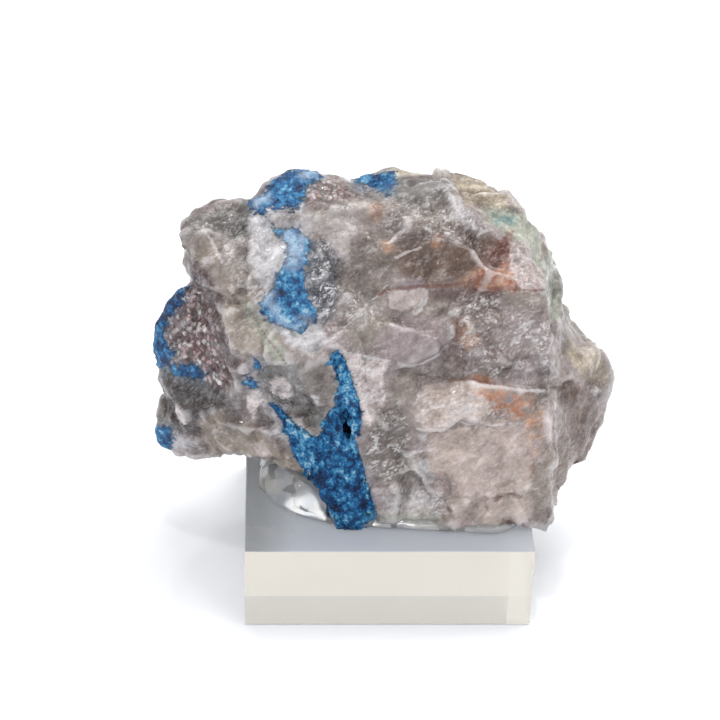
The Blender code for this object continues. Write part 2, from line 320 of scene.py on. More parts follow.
def makeWanderingEdge():
    # turns closeness to a stroke into a patch with a ragged, natural edge
    tree, given, result = newGroup("wanderingEdge", [
        ("Vector", "NodeSocketVector", None), ("Closeness", "NodeSocketFloat", 0.0),
        ("Wander", "NodeSocketFloat", 0.6), ("Size", "NodeSocketFloat", 1.5),
        ("Softness", "NodeSocketFloat", 0.12)], [("Mask", "NodeSocketFloat")])
    scale = mathNode(tree, "DIVIDE", 1000.0, given["Size"])
    rough = place(tree, "ShaderNodeTexNoise", {
        "Vector": given["Vector"], "Scale": scale, "Detail": 5.0, "Roughness": 0.65}).outputs[0]
    offset = mathNode(tree, "MULTIPLY", mathNode(tree, "SUBTRACT", rough, 0.5), given["Wander"])
    value = mathNode(tree, "ADD", given["Closeness"], offset)
    low = mathNode(tree, "SUBTRACT", 0.5, given["Softness"])
    high = mathNode(tree, "ADD", 0.5, given["Softness"])
    edge = place(tree, "ShaderNodeMapRange", {0: value, 1: low, 2: high}, interpolation_type="SMOOTHSTEP").outputs[0]
    seen = place(tree, "ShaderNodeMapRange", {0: given["Closeness"], 1: 0.0, 2: 0.12}).outputs[0]
    tree.links.new(mathNode(tree, "MULTIPLY", edge, seen), result["Mask"])
    return tree


def makeCrystalCells():
    # little broken facets: each cell is a plane with its own tilt and its own shade
    tree, given, result = newGroup("crystalCells", [
        ("Vector", "NodeSocketVector", None), ("Size", "NodeSocketFloat", 1.0), ("Tilt", "NodeSocketFloat", 0.4)],
        [("Height", "NodeSocketFloat"), ("Shade", "NodeSocketFloat")])
    scale = mathNode(tree, "DIVIDE", 1000.0, given["Size"])
    warp = place(tree, "ShaderNodeTexNoise", {
        "Vector": given["Vector"], "Scale": mathNode(tree, "MULTIPLY", scale, 0.7), "Detail": 2.0}).outputs["Color"]
    centred = place(tree, "ShaderNodeVectorMath", {0: warp, 1: (0.5, 0.5, 0.5)}, operation="SUBTRACT").outputs[0]
    stretch = mathNode(tree, "DIVIDE", 1.1, scale)
    moved = place(tree, "ShaderNodeVectorMath", {0: centred, "Scale": stretch}, operation="SCALE").outputs[0]
    spot = place(tree, "ShaderNodeVectorMath", {0: given["Vector"], 1: moved}, operation="ADD").outputs[0]
    cells = place(tree, "ShaderNodeTexVoronoi", {"Vector": spot, "Scale": scale})
    away = place(tree, "ShaderNodeVectorMath", {0: spot, 1: cells.outputs["Position"]}, operation="SUBTRACT").outputs[0]
    lean = place(tree, "ShaderNodeVectorMath", {0: cells.outputs["Color"], 1: (0.5, 0.5, 0.5)},
                 operation="SUBTRACT").outputs[0]
    plane = place(tree, "ShaderNodeVectorMath", {0: away, 1: lean}, operation="DOT_PRODUCT").outputs["Value"]
    height = mathNode(tree, "MULTIPLY", mathNode(tree, "MULTIPLY", plane, 2000.0), given["Tilt"])
    tree.links.new(height, result["Height"])
    shade = place(tree, "ShaderNodeSeparateColor", {0: cells.outputs["Color"]}).outputs[2]
    tree.links.new(shade, result["Shade"])
    return tree


def makeBlueDruse():
    # the blue mineral: dense tufts of fine needles in its own navy to azure blue, with painted shade between the tufts
    # and painted highlights at their tips; Depth darkens it and Tips pales and raises it
    tree, given, result = newGroup("blueDruse", [
        ("Vector", "NodeSocketVector", None), ("Depth", "NodeSocketFloat", 0.0), ("Tips", "NodeSocketFloat", 0.0)],
        [("Colour", "NodeSocketColor"), ("Height", "NodeSocketFloat")])
    lumps = noiseNode(tree, given["Vector"], 2.2, 3.0, 0.6)
    grain = noiseNode(tree, given["Vector"], 0.34, 3.0, 0.6)
    warp = place(tree, "ShaderNodeTexNoise", {"Vector": given["Vector"], "Scale": 1000 / 0.8}).outputs["Color"]
    pushed = place(tree, "ShaderNodeVectorMath", {0: warp, "Scale": 0.0004}, operation="SCALE").outputs[0]
    spot = place(tree, "ShaderNodeVectorMath", {0: given["Vector"], 1: pushed}, operation="ADD").outputs[0]
    large = place(tree, "ShaderNodeTexVoronoi", {"Vector": spot, "Scale": 1000 / 1.15}).outputs["Distance"]
    small = place(tree, "ShaderNodeTexVoronoi", {"Vector": spot, "Scale": 1000 / 0.44}).outputs["Distance"]
    tufts = mathNode(tree, "ADD", mathNode(tree, "MULTIPLY", large, 0.56), mathNode(tree, "MULTIPLY", small, 0.3))
    level = mathNode(tree, "SUBTRACT", mathNode(tree, "MULTIPLY", grain, 0.8), tufts)
    level = mathNode(tree, "ADD", level, mathNode(tree, "MULTIPLY", lumps, 0.8))
    level = mathNode(tree, "ADD", level, 0.2)
    level = mathNode(tree, "SUBTRACT", level, mathNode(tree, "MULTIPLY", given["Depth"], 0.17))
    level = mathNode(tree, "ADD", level, mathNode(tree, "MULTIPLY", given["Tips"], 0.26))
    ramp = place(tree, "ShaderNodeValToRGB", {0: level})
    stops = ramp.color_ramp.elements
    stops[0].position, stops[0].color = 0.2, paint(14, 30, 62)
    stops[1].position, stops[1].color = 1.0, paint(192, 216, 230)
    for position, colour in ((0.38, paint(16, 60, 108)), (0.54, paint(26, 98, 152)), (0.7, paint(60, 136, 186)),
                             (0.86, paint(120, 178, 210))):
        stops.new(position).color = colour
    tree.links.new(ramp.outputs[0], result["Colour"])
    tree.links.new(mathNode(tree, "MULTIPLY", level, 0.7), result["Height"])
    return tree


groups = {}


def makeGroups():
    groups["edge"] = makeWanderingEdge()
    groups["cells"] = makeCrystalCells()
    groups["druse"] = makeBlueDruse()


def floorMaterial():
    material, tree, shader, coords = newMaterial("paleStudioFloor", Roughness=0.7)
    faint = noiseNode(tree, coords, 60, 2.0)
    colour = mixPaint(tree, faint, (0.90, 0.93, 0.985, 1), (0.915, 0.945, 1.0, 1))
    tree.links.new(colour, shader.inputs["Base Color"])
    shader.inputs["Emission Color"].default_value = (0.9, 0.94, 1.0, 1)
    shader.inputs["Emission Strength"].default_value = 0.045
    return material


# the stone

stoneColours = {
    "lilac": (158, 146, 148),
    "lilacPale": (164, 150, 154),
    "smoky": (112, 90, 78),
    "smokyGrey": (130, 121, 116),
    "milky": (204, 203, 207),
    "pinkWhite": (198, 184, 182),
    "sand": (206, 190, 183),
    "cream": (182, 170, 152),
    "creamGreen": (168, 172, 160),
    "teal": (104, 142, 140),
    "maroon": (70, 36, 34),
    "umber": (64, 54, 54),
    "soot": (46, 42, 46),
    "steel": (100, 104, 114),
    "grey": (112, 110, 108),
    "beige": (160, 150, 142),
    "tan": (150, 138, 126),
    "orange": (178, 110, 60),
    "sienna": (142, 82, 48),
    "peach": (192, 154, 128),
    "rust": (106, 56, 36),
    "blush": (230, 218, 218),
    "warmPale": (206, 190, 182),
    "wine": (90, 60, 60),
}

# patches are outlined on the photograph in pixels. soft is the width of the edge in millimetres, flat how far
# the patch is planed to one facet, and rise how far it stands out, in millimetres
stonePatches = [
    # the left flank
    dict(tone="grey", soft=1.2, flat=0.3, outline=[(186, 216), (212, 208), (246, 202), (252, 216), (250, 234), (236, 242),
                                                   (222, 234), (206, 228), (190, 232)]),
    # the umber and soot patches low on the left flank are its own dark tone and painted shade where the flank faces
    # down and away from the light
    dict(tone="umber", soft=1.2, outline=[(161, 366), (182, 366), (225, 388), (236, 402), (216, 412), (205, 432), (182, 434),
                                          (160, 424), (158, 395)]),
    dict(tone="soot", soft=1.4, strength=0.45, outline=[(180, 366), (222, 386), (226, 398), (196, 398), (176, 386)]),
    dict(tone="wine", soft=0.9, grain=1.0, outline=[(184, 272), (204, 288), (215, 310), (218, 332), (232, 364), (234, 378),
                                                    (225, 388), (208, 382), (187, 366), (170, 348), (167, 330), (176, 308)]),
    dict(tone="maroon", soft=0.5, grain=0.15, outline=[(184, 250), (196, 256), (206, 272), (220, 302), (225, 325), (230, 344),
                                                       (240, 358), (248, 373), (243, 379), (231, 366), (221, 350), (214, 332),
                                                       (214, 318), (208, 304), (199, 290), (188, 274)]),
    dict(tone="blush", soft=0.3, flat=0.8, rise=0.2, strength=0.75,
         outline=[(176, 403), (181, 405), (190, 415), (188, 424), (178, 418)]),
    dict(tone="milky", soft=0.9, strength=0.7, outline=[(175, 434), (198, 437), (206, 446), (190, 450), (172, 448)]),
    dict(tone="tan", soft=1.6, outline=[(200, 420), (225, 408), (262, 432), (290, 452), (303, 472), (280, 478), (250, 470),
                                        (205, 448)]),
    dict(tone="umber", soft=1.4, strength=0.6, outline=[(226, 392), (242, 392), (248, 414), (240, 432), (226, 426)]),
    # the left shoulder
    dict(tone="beige", soft=1.5, strength=0.8, outline=[(200, 236), (226, 240), (246, 262), (262, 292), (262, 318), (240, 306),
                                                        (224, 312), (214, 280)]),
    dict(tone="beige", soft=0.5, flat=0.85, rise=0.1, outline=[(225, 312), (242, 300), (254, 314), (264, 334), (264, 350),
                                                                (246, 354), (232, 342)]),
    dict(tone="creamGreen", soft=0.7, strength=0.8, outline=[(241, 300), (252, 304), (272, 330), (290, 352), (288, 364),
                                                            (266, 348), (250, 322)]),
    dict(tone="grey", soft=0.6, flat=0.6, outline=[(262, 362), (300, 360), (312, 392), (312, 424), (290, 410), (268, 396),
                                                   (256, 380)]),
    dict(tone="smokyGrey", soft=0.4, flat=0.9, rise=0.1, outline=[(308, 362), (330, 356), (337, 372), (336, 392), (326, 404),
                                                                  (312, 392), (303, 375)]),
    dict(tone="grey", soft=0.4, flat=0.8, outline=[(310, 404), (326, 406), (324, 424), (317, 434), (304, 424)]),
    dict(tone="blush", soft=0.25, flat=0.9, rise=0.25, strength=0.7, outline=[(272, 378), (280, 373), (288, 375), (295, 384),
                                                                                 (292, 394), (283, 398), (274, 392)]),
    dict(tone="blush", soft=0.25, flat=0.8, rise=0.2, strength=0.7,
         outline=[(245, 396), (254, 390), (260, 387), (260, 402), (254, 422), (248, 412)]),
    dict(tone="milky", soft=0.6, strength=0.5, outline=[(256, 390), (264, 396), (292, 440), (288, 446), (264, 414)]),
    dict(tone="pinkWhite", soft=0.3, flat=0.6, rise=0.12, strength=0.8, outline=[(254, 440), (264, 438), (274, 452), (270, 462),
                                                                                (258, 456)]),
    dict(tone="milky", soft=0.3, strength=0.9, outline=[(312, 388), (318, 392), (322, 402), (314, 402)]),
    # milky quartz beside the blue, whose bright glassy white part is a painted highlight
    dict(tone="milky", soft=0.8, outline=[(247, 217), (262, 217), (280, 238), (288, 250), (285, 265), (276, 275), (268, 290),
                                          (259, 286), (254, 268), (249, 245)]),
    dict(tone="milky", soft=0.9, strength=0.45, outline=[(252, 212), (300, 206), (316, 216), (322, 232), (304, 232), (270, 226),
                                                        (250, 222)]),
    dict(tone="milky", soft=0.8, outline=[(283, 331), (300, 330), (316, 323), (326, 335), (322, 347), (311, 356), (300, 350),
                                          (288, 342)]),
    dict(tone="steel", soft=1.1, sparkle=1.0, outline=[(310, 240), (326, 238), (340, 262), (342, 290), (332, 318), (322, 324),
                                                       (312, 302), (306, 284), (307, 262)]),
    # the top
    dict(tone="smokyGrey", soft=0.6, grain=0.85, outline=[(306, 180), (326, 182), (352, 186), (374, 197), (346, 203), (318, 206),
                                                          (301, 202)]),
    dict(tone="maroon", soft=0.5, grain=0.3, strength=0.8, outline=[(314, 204), (328, 204), (336, 208), (326, 214), (314, 212)]),
    dict(tone="maroon", soft=0.5, grain=0.4, strength=0.8, outline=[(344, 189), (358, 188), (376, 198), (362, 201), (346, 198)]),
    dict(tone="grey", soft=1.0, strength=0.9, outline=[(392, 184), (420, 184), (450, 190), (452, 202), (420, 204), (388, 200)]),
    dict(tone="wine", soft=0.8, strength=0.5, outline=[(408, 184), (446, 186), (448, 192), (410, 190)]),
    dict(tone="cream", soft=0.7, outline=[(376, 176), (418, 175), (422, 184), (388, 184), (377, 183)]),
    dict(tone="cream", soft=0.9, outline=[(452, 178), (484, 176), (496, 192), (512, 212), (498, 216), (476, 206), (454, 198)]),
    dict(tone="creamGreen", soft=0.8, outline=[(478, 208), (508, 210), (536, 230), (550, 252), (557, 290), (560, 322),
                                               (551, 314), (546, 288), (536, 258), (518, 238), (494, 224)]),
    dict(tone="teal", soft=0.6, strength=0.85, outline=[(490, 214), (500, 216), (516, 221), (512, 227), (498, 224)]),
    # the main face
    dict(tone="milky", soft=1.6, strength=0.3, outline=[(322, 208), (352, 206), (362, 224), (350, 252), (334, 262), (324, 240)]),
    dict(tone="smokyGrey", soft=2.0, outline=[(340, 262), (366, 232), (392, 222), (400, 262), (384, 292), (352, 306),
                                              (338, 290)]),
    dict(tone="smoky", soft=1.8, outline=[(396, 236), (430, 222), (474, 224), (500, 240), (492, 264), (470, 284), (430, 288),
                                          (404, 284), (393, 262)]),
    # painted highlight: the bright white facet near the top of the main face
    dict(tone="milky", soft=0.5, flat=0.8, rise=0.15, strength=0.6,
         outline=[(446, 198), (458, 202), (468, 214), (480, 228), (474, 236), (462, 226), (452, 212)]),
    dict(tone="peach", soft=0.8, strength=0.7, outline=[(380, 240), (392, 239), (397, 249), (386, 254)]),
    dict(tone="peach", soft=0.8, strength=0.7, outline=[(369, 206), (379, 203), (384, 214), (374, 221)]),
    dict(tone="peach", soft=0.8, strength=0.6, outline=[(431, 237), (440, 237), (441, 248), (432, 248)]),
    dict(tone="peach", soft=1.4, strength=0.8, outline=[(470, 274), (486, 256), (500, 258), (514, 262), (516, 284), (504, 292),
                                                        (480, 291), (460, 286)]),
    dict(tone="sienna", soft=1.0, strength=1.0, mottle=0.5, outline=[(462, 290), (478, 268), (492, 248), (510, 230),
                                                                      (518, 262), (518, 292), (490, 294)]),
    dict(tone="rust", soft=1.0, strength=1.0, outline=[(484, 252), (510, 232), (513, 246), (505, 260), (496, 268), (484, 272)]),
    # painted shadow in the recess under the overhanging edge at the seam
    dict(tone="wine", soft=0.8, strength=0.75, outline=[(426, 290), (470, 286), (506, 291), (500, 300), (470, 304), (438, 302)]),
    dict(tone="pinkWhite", soft=0.7, sparkle=1.0, grain=0.15, outline=[(512, 238), (534, 246), (546, 270), (546, 293),
                                                                       (522, 291), (512, 270)]),
    dict(tone="blush", soft=0.2, flat=0.9, rise=0.28, strength=0.6, outline=[(390, 297), (397, 291), (413, 290), (427, 291), (427, 298),
                                                                    (415, 304), (400, 309), (390, 307)]),
    dict(tone="lilacPale", soft=0.5, flat=0.5, strength=0.8, outline=[(400, 281), (410, 278), (426, 284), (424, 289),
                                                                      (402, 289)]),
    dict(tone="milky", soft=0.3, strength=0.6, outline=[(426, 291), (430, 294), (424, 306), (415, 313), (413, 309), (420, 302)]),
    dict(tone="lilacPale", soft=1.5, strength=0.7, outline=[(382, 330), (412, 316), (448, 312), (454, 330), (430, 350),
                                                            (400, 362), (376, 352)]),
    dict(tone="smoky", soft=3.0, strength=0.45, outline=[(452, 300), (500, 296), (528, 320), (540, 372), (500, 378), (452, 366)]),
    dict(tone="lilacPale", soft=2.0, sparkle=1.0, strength=0.4, outline=[(500, 306), (546, 302), (552, 340), (552, 376),
                                                                         (520, 378), (496, 350)]),
    # painted shade in the recess below the curved step
    dict(tone="wine", soft=1.6, strength=0.5, outline=[(456, 336), (490, 330), (500, 352), (478, 370), (448, 366), (440, 352)]),
    dict(tone="peach", soft=0.8, strength=0.6, outline=[(452, 320), (466, 320), (480, 340), (470, 352), (458, 340)]),
    dict(tone="blush", soft=0.5, sparkle=1.0, grain=0.08, outline=[(340, 352), (362, 356), (390, 361), (384, 380), (385, 400),
                                                                       (372, 424), (362, 420), (358, 400), (351, 375)]),
    dict(tone="smokyGrey", soft=1.3, sparkle=0.6, outline=[(374, 414), (400, 402), (410, 426), (408, 470), (396, 490),
                                                           (374, 480), (366, 450)]),
    # the pale top of the ledge between two steps: its own pale tone, painted paler where it catches the light from
    # above
    dict(tone="warmPale", soft=2.4, outline=[(424, 388), (470, 384), (490, 396), (512, 412), (516, 428), (460, 430),
                                             (424, 430), (416, 412)]),
    dict(tone="peach", soft=1.6, strength=0.75, mottle=0.9, outline=[(468, 386), (497, 386), (536, 395), (542, 415), (542, 441), (533, 454),
                                          (526, 430), (510, 416), (490, 412), (478, 400)]),
    dict(tone="orange", soft=1.2, strength=0.75, mottle=1.3, outline=[(474, 392), (508, 390), (524, 400), (522, 416),
                                                                      (502, 416), (484, 404)]),
    dict(tone="orange", soft=0.6, strength=0.6, outline=[(474, 375), (492, 375), (492, 383), (476, 383)]),
    dict(tone="orange", soft=0.9, strength=0.35, mottle=1.3, outline=[(528, 412), (536, 416), (536, 452), (530, 482), (526, 480),
                                                          (530, 446)]),
    dict(tone="sand", soft=0.5, strength=0.6, flat=0.75, outline=[(422, 432), (504, 426), (532, 430), (530, 488), (492, 498),
                                                                  (444, 496), (426, 470)]),
    dict(tone="pinkWhite", soft=0.4, flat=0.7, outline=[(541, 402), (556, 402), (555, 438), (546, 443), (541, 430)]),
    dict(tone="tan", soft=1.0, strength=0.7, outline=[(541, 444), (560, 436), (568, 480), (546, 502), (538, 480)]),
    dict(tone="milky", soft=0.25, flat=0.9, rise=0.16, strength=0.8, outline=[(413, 463), (425, 459), (436, 480), (430, 485),
                                                                              (415, 476)]),
    dict(tone="milky", soft=0.3, flat=0.8, rise=0.12, strength=0.6, outline=[(418, 431), (428, 430), (427, 440), (419, 441)]),
    dict(tone="warmPale", soft=1.4, strength=0.5, outline=[(400, 496), (530, 496), (536, 520), (500, 526), (400, 522)]),
    dict(tone="milky", soft=0.8, strength=0.5, outline=[(380, 496), (412, 492), (444, 500), (440, 510), (396, 510)]),
    dict(tone="creamGreen", soft=0.8, strength=0.7, outline=[(380, 512), (440, 512), (446, 524), (380, 524)]),
    # the right wing
    dict(tone="cream", soft=1.0, strength=0.8, outline=[(566, 338), (582, 344), (596, 356), (606, 376), (598, 386), (582, 376), (568, 362)]),
    dict(tone="smoky", soft=1.6, strength=0.95, outline=[(560, 372), (578, 384), (594, 396), (598, 430), (582, 440), (566, 420)]),
    dict(tone="tan", soft=0.6, strength=0.8, outline=[(560, 428), (571, 430), (571, 468), (562, 474)]),
    dict(tone="smoky", soft=1.2, strength=0.75, outline=[(556, 424), (600, 410), (598, 470), (572, 500), (556, 480)]),
    dict(tone="umber", soft=0.8, strength=0.5, outline=[(548, 312), (560, 326), (572, 350), (566, 352), (552, 332)]),
    # zones of small bright facets: glossier and bumpier there, with more painted white glint flecks and streaks
    dict(tone="milky", soft=2.4, strength=0.12, sparkle=0.8, outline=[(396, 204), (450, 200), (488, 226), (478, 246), (436, 238),
                                                                     (404, 248), (384, 226)]),
    dict(tone="milky", soft=2.0, strength=0.1, sparkle=0.6, outline=[(214, 222), (262, 220), (270, 262), (262, 300), (240, 296),
                                                                    (224, 262)]),
    dict(tone="milky", soft=2.0, strength=0.1, sparkle=0.7, outline=[(340, 296), (366, 290), (384, 310), (360, 330), (338, 320)]),
    dict(tone="milky", soft=2.4, strength=0.1, sparkle=0.7, outline=[(440, 300), (500, 296), (548, 330), (550, 380), (500, 376),
                                                                    (470, 372), (452, 340)]),
    dict(tone="milky", soft=2.0, strength=0.1, sparkle=0.7, outline=[(410, 392), (470, 388), (500, 404), (520, 424), (470, 424),
                                                                    (420, 426)]),
    dict(tone="milky", soft=2.0, strength=0.1, sparkle=0.6, outline=[(258, 380), (300, 384), (296, 430), (270, 440), (250, 410)]),
    dict(tone="milky", soft=1.6, strength=0.15, sparkle=0.7, outline=[(380, 492), (420, 486), (450, 500), (440, 518), (384, 512)]),
]

# where the blue mineral lies, outlined in the same way, with its own height in millimetres
bluePatches = [
    dict(rise=0.22, outline=[(267, 226), (280, 230), (288, 228), (300, 228), (307, 237), (310, 246), (308, 257), (305, 270),
                             (305, 282), (310, 300), (316, 312), (317, 323), (309, 323), (302, 332), (292, 329), (280, 328),
                             (269, 320), (260, 312), (260, 303), (267, 295), (273, 287), (276, 276), (285, 265), (288, 247),
                             (280, 236)]),
    dict(rise=0.4, depth=0.4, outline=[(249, 202), (264, 196), (270, 184), (288, 173), (302, 170), (318, 173), (322, 180), (307, 187),
                            (304, 198), (300, 208), (292, 213), (282, 211), (271, 211), (261, 217), (251, 212)]),
    dict(rise=0.3, outline=[(351, 178), (362, 175), (380, 176), (394, 181), (396, 192), (388, 197), (379, 193), (369, 189),
                            (357, 186)]),
    dict(rise=0.45, depth=0.7, outline=[(176, 280), (185, 284), (185, 296), (178, 306), (173, 315), (167, 325), (166, 335), (168, 345),
                             (175, 352), (173, 362), (165, 369), (150, 368), (146, 340), (152, 312)]),
    dict(rise=0.15, depth=0.6, outline=[(166, 364), (183, 363), (198, 367), (206, 373), (202, 380), (190, 378), (176, 374)]),
    dict(rise=0.35, outline=[(152, 426), (163, 426), (171, 430), (175, 437), (172, 447), (152, 450)]),
    dict(rise=0.2, depth=0.3, outline=[(245, 378), (250, 374), (257, 379), (258, 386), (251, 387), (246, 384)]),
    dict(rise=0.2, depth=0.4, outline=[(254, 359), (262, 360), (262, 367), (255, 367)]),
]

# where the blue is frosted over with white: width in millimetres, then pixels
frostLines = [
    (1.9, [(288, 236), (294, 248), (292, 262)]),
    (1.5, [(301, 240), (300, 254)]),
    (1.2, [(272, 288), (268, 300), (276, 310)]),
    (1.2, [(280, 322), (296, 326), (306, 318)]),
    (1.0, [(256, 206), (268, 200)]),
    (0.9, [(300, 178), (314, 176)]),
]

veinOutline = [
    (331, 353), (338, 351), (344, 358), (348, 368), (352, 380), (357, 394), (360, 405), (362, 418), (360, 430), (355, 437),
    (358, 450), (362, 462), (366, 478), (370, 492), (374, 505), (377, 519), (370, 524), (357, 529), (342, 531), (336, 525),
    (331, 512), (326, 503), (320, 492), (314, 482), (310, 473), (302, 465), (295, 456), (291, 447), (290, 438), (285, 427),
    (279, 417), (269, 403), (274, 402), (285, 413), (296, 424), (308, 433), (317, 437), (323, 432), (326, 419), (331, 411),
    (336, 405), (335, 395), (339, 384), (337, 375), (333, 364)]

vugOutline = [(339, 414), (346, 407), (353, 417), (353, 431), (350, 444), (345, 439), (343, 426)]

# thin lines: width in millimetres, then pixels
stoneLines = {
    "seam": [
        (0.5, [(380, 293), (397, 289), (424, 287), (453, 286), (463, 283)]),
        (0.35, [(463, 283), (480, 284), (512, 289), (524, 290), (542, 291)]),
        (0.8, [(456, 321), (457, 328), (460, 336)]),
        (0.4, [(495, 501), (504, 494), (512, 493), (520, 498)]),
        (0.5, [(508, 236), (511, 246), (506, 256)]),
        (0.5, [(524, 521), (527, 523)]),
        (0.5, [(509, 520), (513, 519)]),
        (0.45, [(449, 507), (451, 509)]),
        (0.4, [(486, 507), (488, 509)]),
        (0.2, [(252, 312), (262, 331), (279, 350), (289, 360)]),
        (0.35, [(448, 381), (472, 381), (495, 384)]),
        (0.4, [(545, 243), (546, 258)]),
    ],
    "glint": [
        (0.45, [(226, 247), (233, 256)]),
        (0.5, [(242, 266), (251, 271), (259, 276)]),
        (0.35, [(236, 285), (246, 288), (256, 286)]),
        (0.4, [(449, 200), (456, 209), (462, 217)]),
        (0.4, [(389, 243), (396, 236), (404, 231)]),
        (0.3, [(396, 258), (408, 252), (420, 248)]),
        (0.35, [(426, 300), (421, 307), (414, 313)]),
        (0.35, [(402, 367), (414, 364), (425, 361), (436, 353), (447, 344)]),
        (0.3, [(418, 429), (440, 428), (460, 427), (480, 426), (504, 424)]),
        (0.35, [(470, 384), (495, 387), (520, 390), (545, 391)]),
        (0.3, [(411, 452), (432, 451)]),
        (0.3, [(335, 351), (360, 356), (389, 361)]),
        (0.16, [(325, 345), (348, 325), (372, 300), (388, 284)]),
        (0.4, [(203, 226), (214, 246), (222, 262)]),
    ],
}

# steps in the broken face: out and into the stone in millimetres on the side to the left of the line, and the
# same on its right, as it is followed; then how far the step fades, and pixels
stoneSteps = [
    (-0.12, 0.28, 1.3, [(380, 293), (397, 289), (424, 287), (453, 286), (480, 284), (512, 289), (542, 291)]),
    (0.45, -0.35, 2.2, [(402, 368), (421, 361), (440, 348), (455, 335), (459, 320)]),
    (-0.35, 0.30, 1.6, [(430, 376), (470, 382), (518, 387), (553, 388)]),
    (0.12, -0.10, 1.2, [(422, 430), (448, 427), (504, 424)]),
    (0.15, -0.18, 1.2, [(531, 490), (533, 440), (535, 399)]),
    (0.30, -0.20, 1.6, [(335, 351), (360, 356), (390, 361), (402, 367)]),
    (0.22, -0.16, 2.2, [(325, 345), (360, 331), (395, 317), (415, 306)]),
    (0.30, -0.30, 1.8, [(233, 296), (252, 312), (262, 331), (279, 350), (289, 360)]),
    (0.20, -0.25, 1.4, [(305, 360), (316, 398), (308, 424)]),
]

crestLine = [(396, 184), (440, 186)]

# places at the stone's rim that are pressed in: pixel, reach in pixels, depth in millimetres
rimDents = [
    ((177, 248), 17, 1.1),
    ((522, 171), 14, 0.5),
]

# the same blue, rust and pale crusts on the faces that the photograph doesn't show:
# colour, width in millimetres, and places in millimetres
hiddenStrokes = [
    ("blue", 6.0, [(-30, 6, 42), (-29, 12, 38), (-27, 17, 33)]),
    ("blue", 5.0, [(-8, 21, 40), (-2, 22.5, 36), (3, 22.5, 31), (5, 21, 26)]),
    ("blue", 5.0, [(-16, 10, 54), (-8, 12, 54), (0, 14, 52)]),
    ("blue", 3.6, [(18, 20, 34), (22, 18, 30)]),
    ("peach", 4.0, [(10, 22, 44), (14, 21, 38), (13, 22, 30)]),
    ("wine", 5.0, [(-20, 18, 40), (-14, 20, 34), (-12, 20, 26)]),
    ("rust", 3.0, [(-17, 19, 37), (-13, 20, 31)]),
    ("sienna", 2.6, [(29, 2, 31), (30, 6, 28), (29, 9, 24)]),
    ("milky", 7.0, [(-22, 17, 26), (-12, 20, 20)]),
    ("sand", 7.0, [(16, 20, 22), (24, 15, 20)]),
    ("pinkWhite", 6.0, [(26, 12, 38), (22, 16, 44)]),
    ("smoky", 9.0, [(-4, 22, 26), (8, 22, 24)]),
    ("umber", 7.0, [(-28, 10, 26), (-24, 4, 20)]),
    ("soot", 3.0, [(-12, 20, 44), (-18, 17, 46)]),
    ("steel", 5.0, [(20, 18, 38), (26, 12, 30)]),
    ("cream", 9.0, [(0, 20, 48), (12, 19, 48), (20, 16, 46)]),
    ("creamGreen", 6.0, [(26, 10, 44), (28, 6, 38)]),
    ("teal", 3.5, [(8, 21, 46), (18, 18, 42)]),
]

stoneShape = {
    "voxel": 0.36 * millimetre,
    "smoothing": 6,
    "veinFill": 0.3 * millimetre,  # how far the crust is swollen to close the gap that the solids keep
    # broken facets: size of a cell and width of the edge between cells in millimetres, lean, step in millimetres
    "facets": [(9.0, 0.5, 0.16, 0.14), (3.6, 0.42, 0.13, 0.07)],
    "roughFacets": (1.9, 0.4, 0.3, 0.08),
    "ragged": 3.0,  # how far a patch's edge wanders, in pixels
    "ripple": 0.04 * millimetre,
    "crumble": 0.22 * millimetre,
    "blueGrain": 0.28 * millimetre,
    "vugDepth": 3.0 * millimetre,
    "spill": 10,
    "seatTop": 16.4 * millimetre,
    "seatFade": 2.2 * millimetre,
    "seatDrop": 0.75 * millimetre,
    "crestRise": 1.3 * millimetre,
    "wingStart": 22.5 * millimetre,
    "wingDrop": 1.1 * millimetre,
}

pixelsPerMillimetre = 7.13


def photoPixels(points):
    # where the camera of the photograph sees each point
    right, up, back = (np.array(axis) for axis in cameraAxes())
    away = points - np.array(cameraPlace())
    depth = -(away @ back)
    focal = photoCamera["lens"] / 36 * photoCamera["imageSize"]
    middle = photoCamera["imageSize"] / 2
    return np.stack([middle + focal * (away @ right) / depth, middle - focal * (away @ up) / depth], 1)


def seenByCamera(skin, points):
    eye = cameraPlace()
    seen = np.zeros(len(points), bool)
    for i, point in enumerate(points):
        ray = Vector(point) - eye
        length = ray.length
        hit = skin.ray_cast(eye, ray / length)
        seen[i] = hit[0] is not None and hit[3] > length - 0.5 * millimetre
    return seen


def lineGap(pixels, line):
    # distance to a drawn line in pixels, and which side each place is on: 1 left of it, -1 right of it
    best = np.full(len(pixels), 1e9)
    side = np.zeros(len(pixels))
    for start, end in zip(line, line[1:]):
        start, end = np.array(start, float), np.array(end, float)
        along = end - start
        away = pixels - start
        share = np.clip(away @ along / (along @ along), 0, 1)
        gap = np.linalg.norm(away - share[:, None] * along, axis=1)
        nearer = gap < best
        best[nearer] = gap[nearer]
        side[nearer] = -np.sign(along[0] * away[nearer, 1] - along[1] * away[nearer, 0])
    return best, side


def lineReach(pixels, line, reach):
    return 1 - lineGap(pixels, line)[0] / reach


def insideBy(pixels, outline):
    # how far each place is inside an outline, in pixels, below 0 outside it
    gap = lineGap(pixels, outline + outline[:1])[0]
    inside = np.zeros(len(pixels), bool)
    for start, end in zip(outline, outline[1:] + outline[:1]):
        crosses = (start[1] > pixels[:, 1]) != (end[1] > pixels[:, 1])
        reach = (end[0] - start[0]) * (pixels[:, 1] - start[1]) / ((end[1] - start[1]) or 1e-9) + start[0]
        inside ^= crosses & (pixels[:, 0] < reach)
    return np.where(inside, gap, -gap)


def softStep(values):
    values = np.clip(values, 0, 1)
    return values * values * (3 - 2 * values)


def closenessTo(points, line, width):
    # 1 on the line, 0 at its width and beyond
    line = [np.array(spot) for spot in line]
    best = np.zeros(len(points))
    for start, end in zip(line, line[1:] or line):
        along = end - start
        share = np.clip((points - start) @ along / max(along @ along, 1e-12), 0, 1)
        best = np.maximum(best, 1 - np.linalg.norm(points - start - share[:, None] * along, axis=1) / width)
    return best


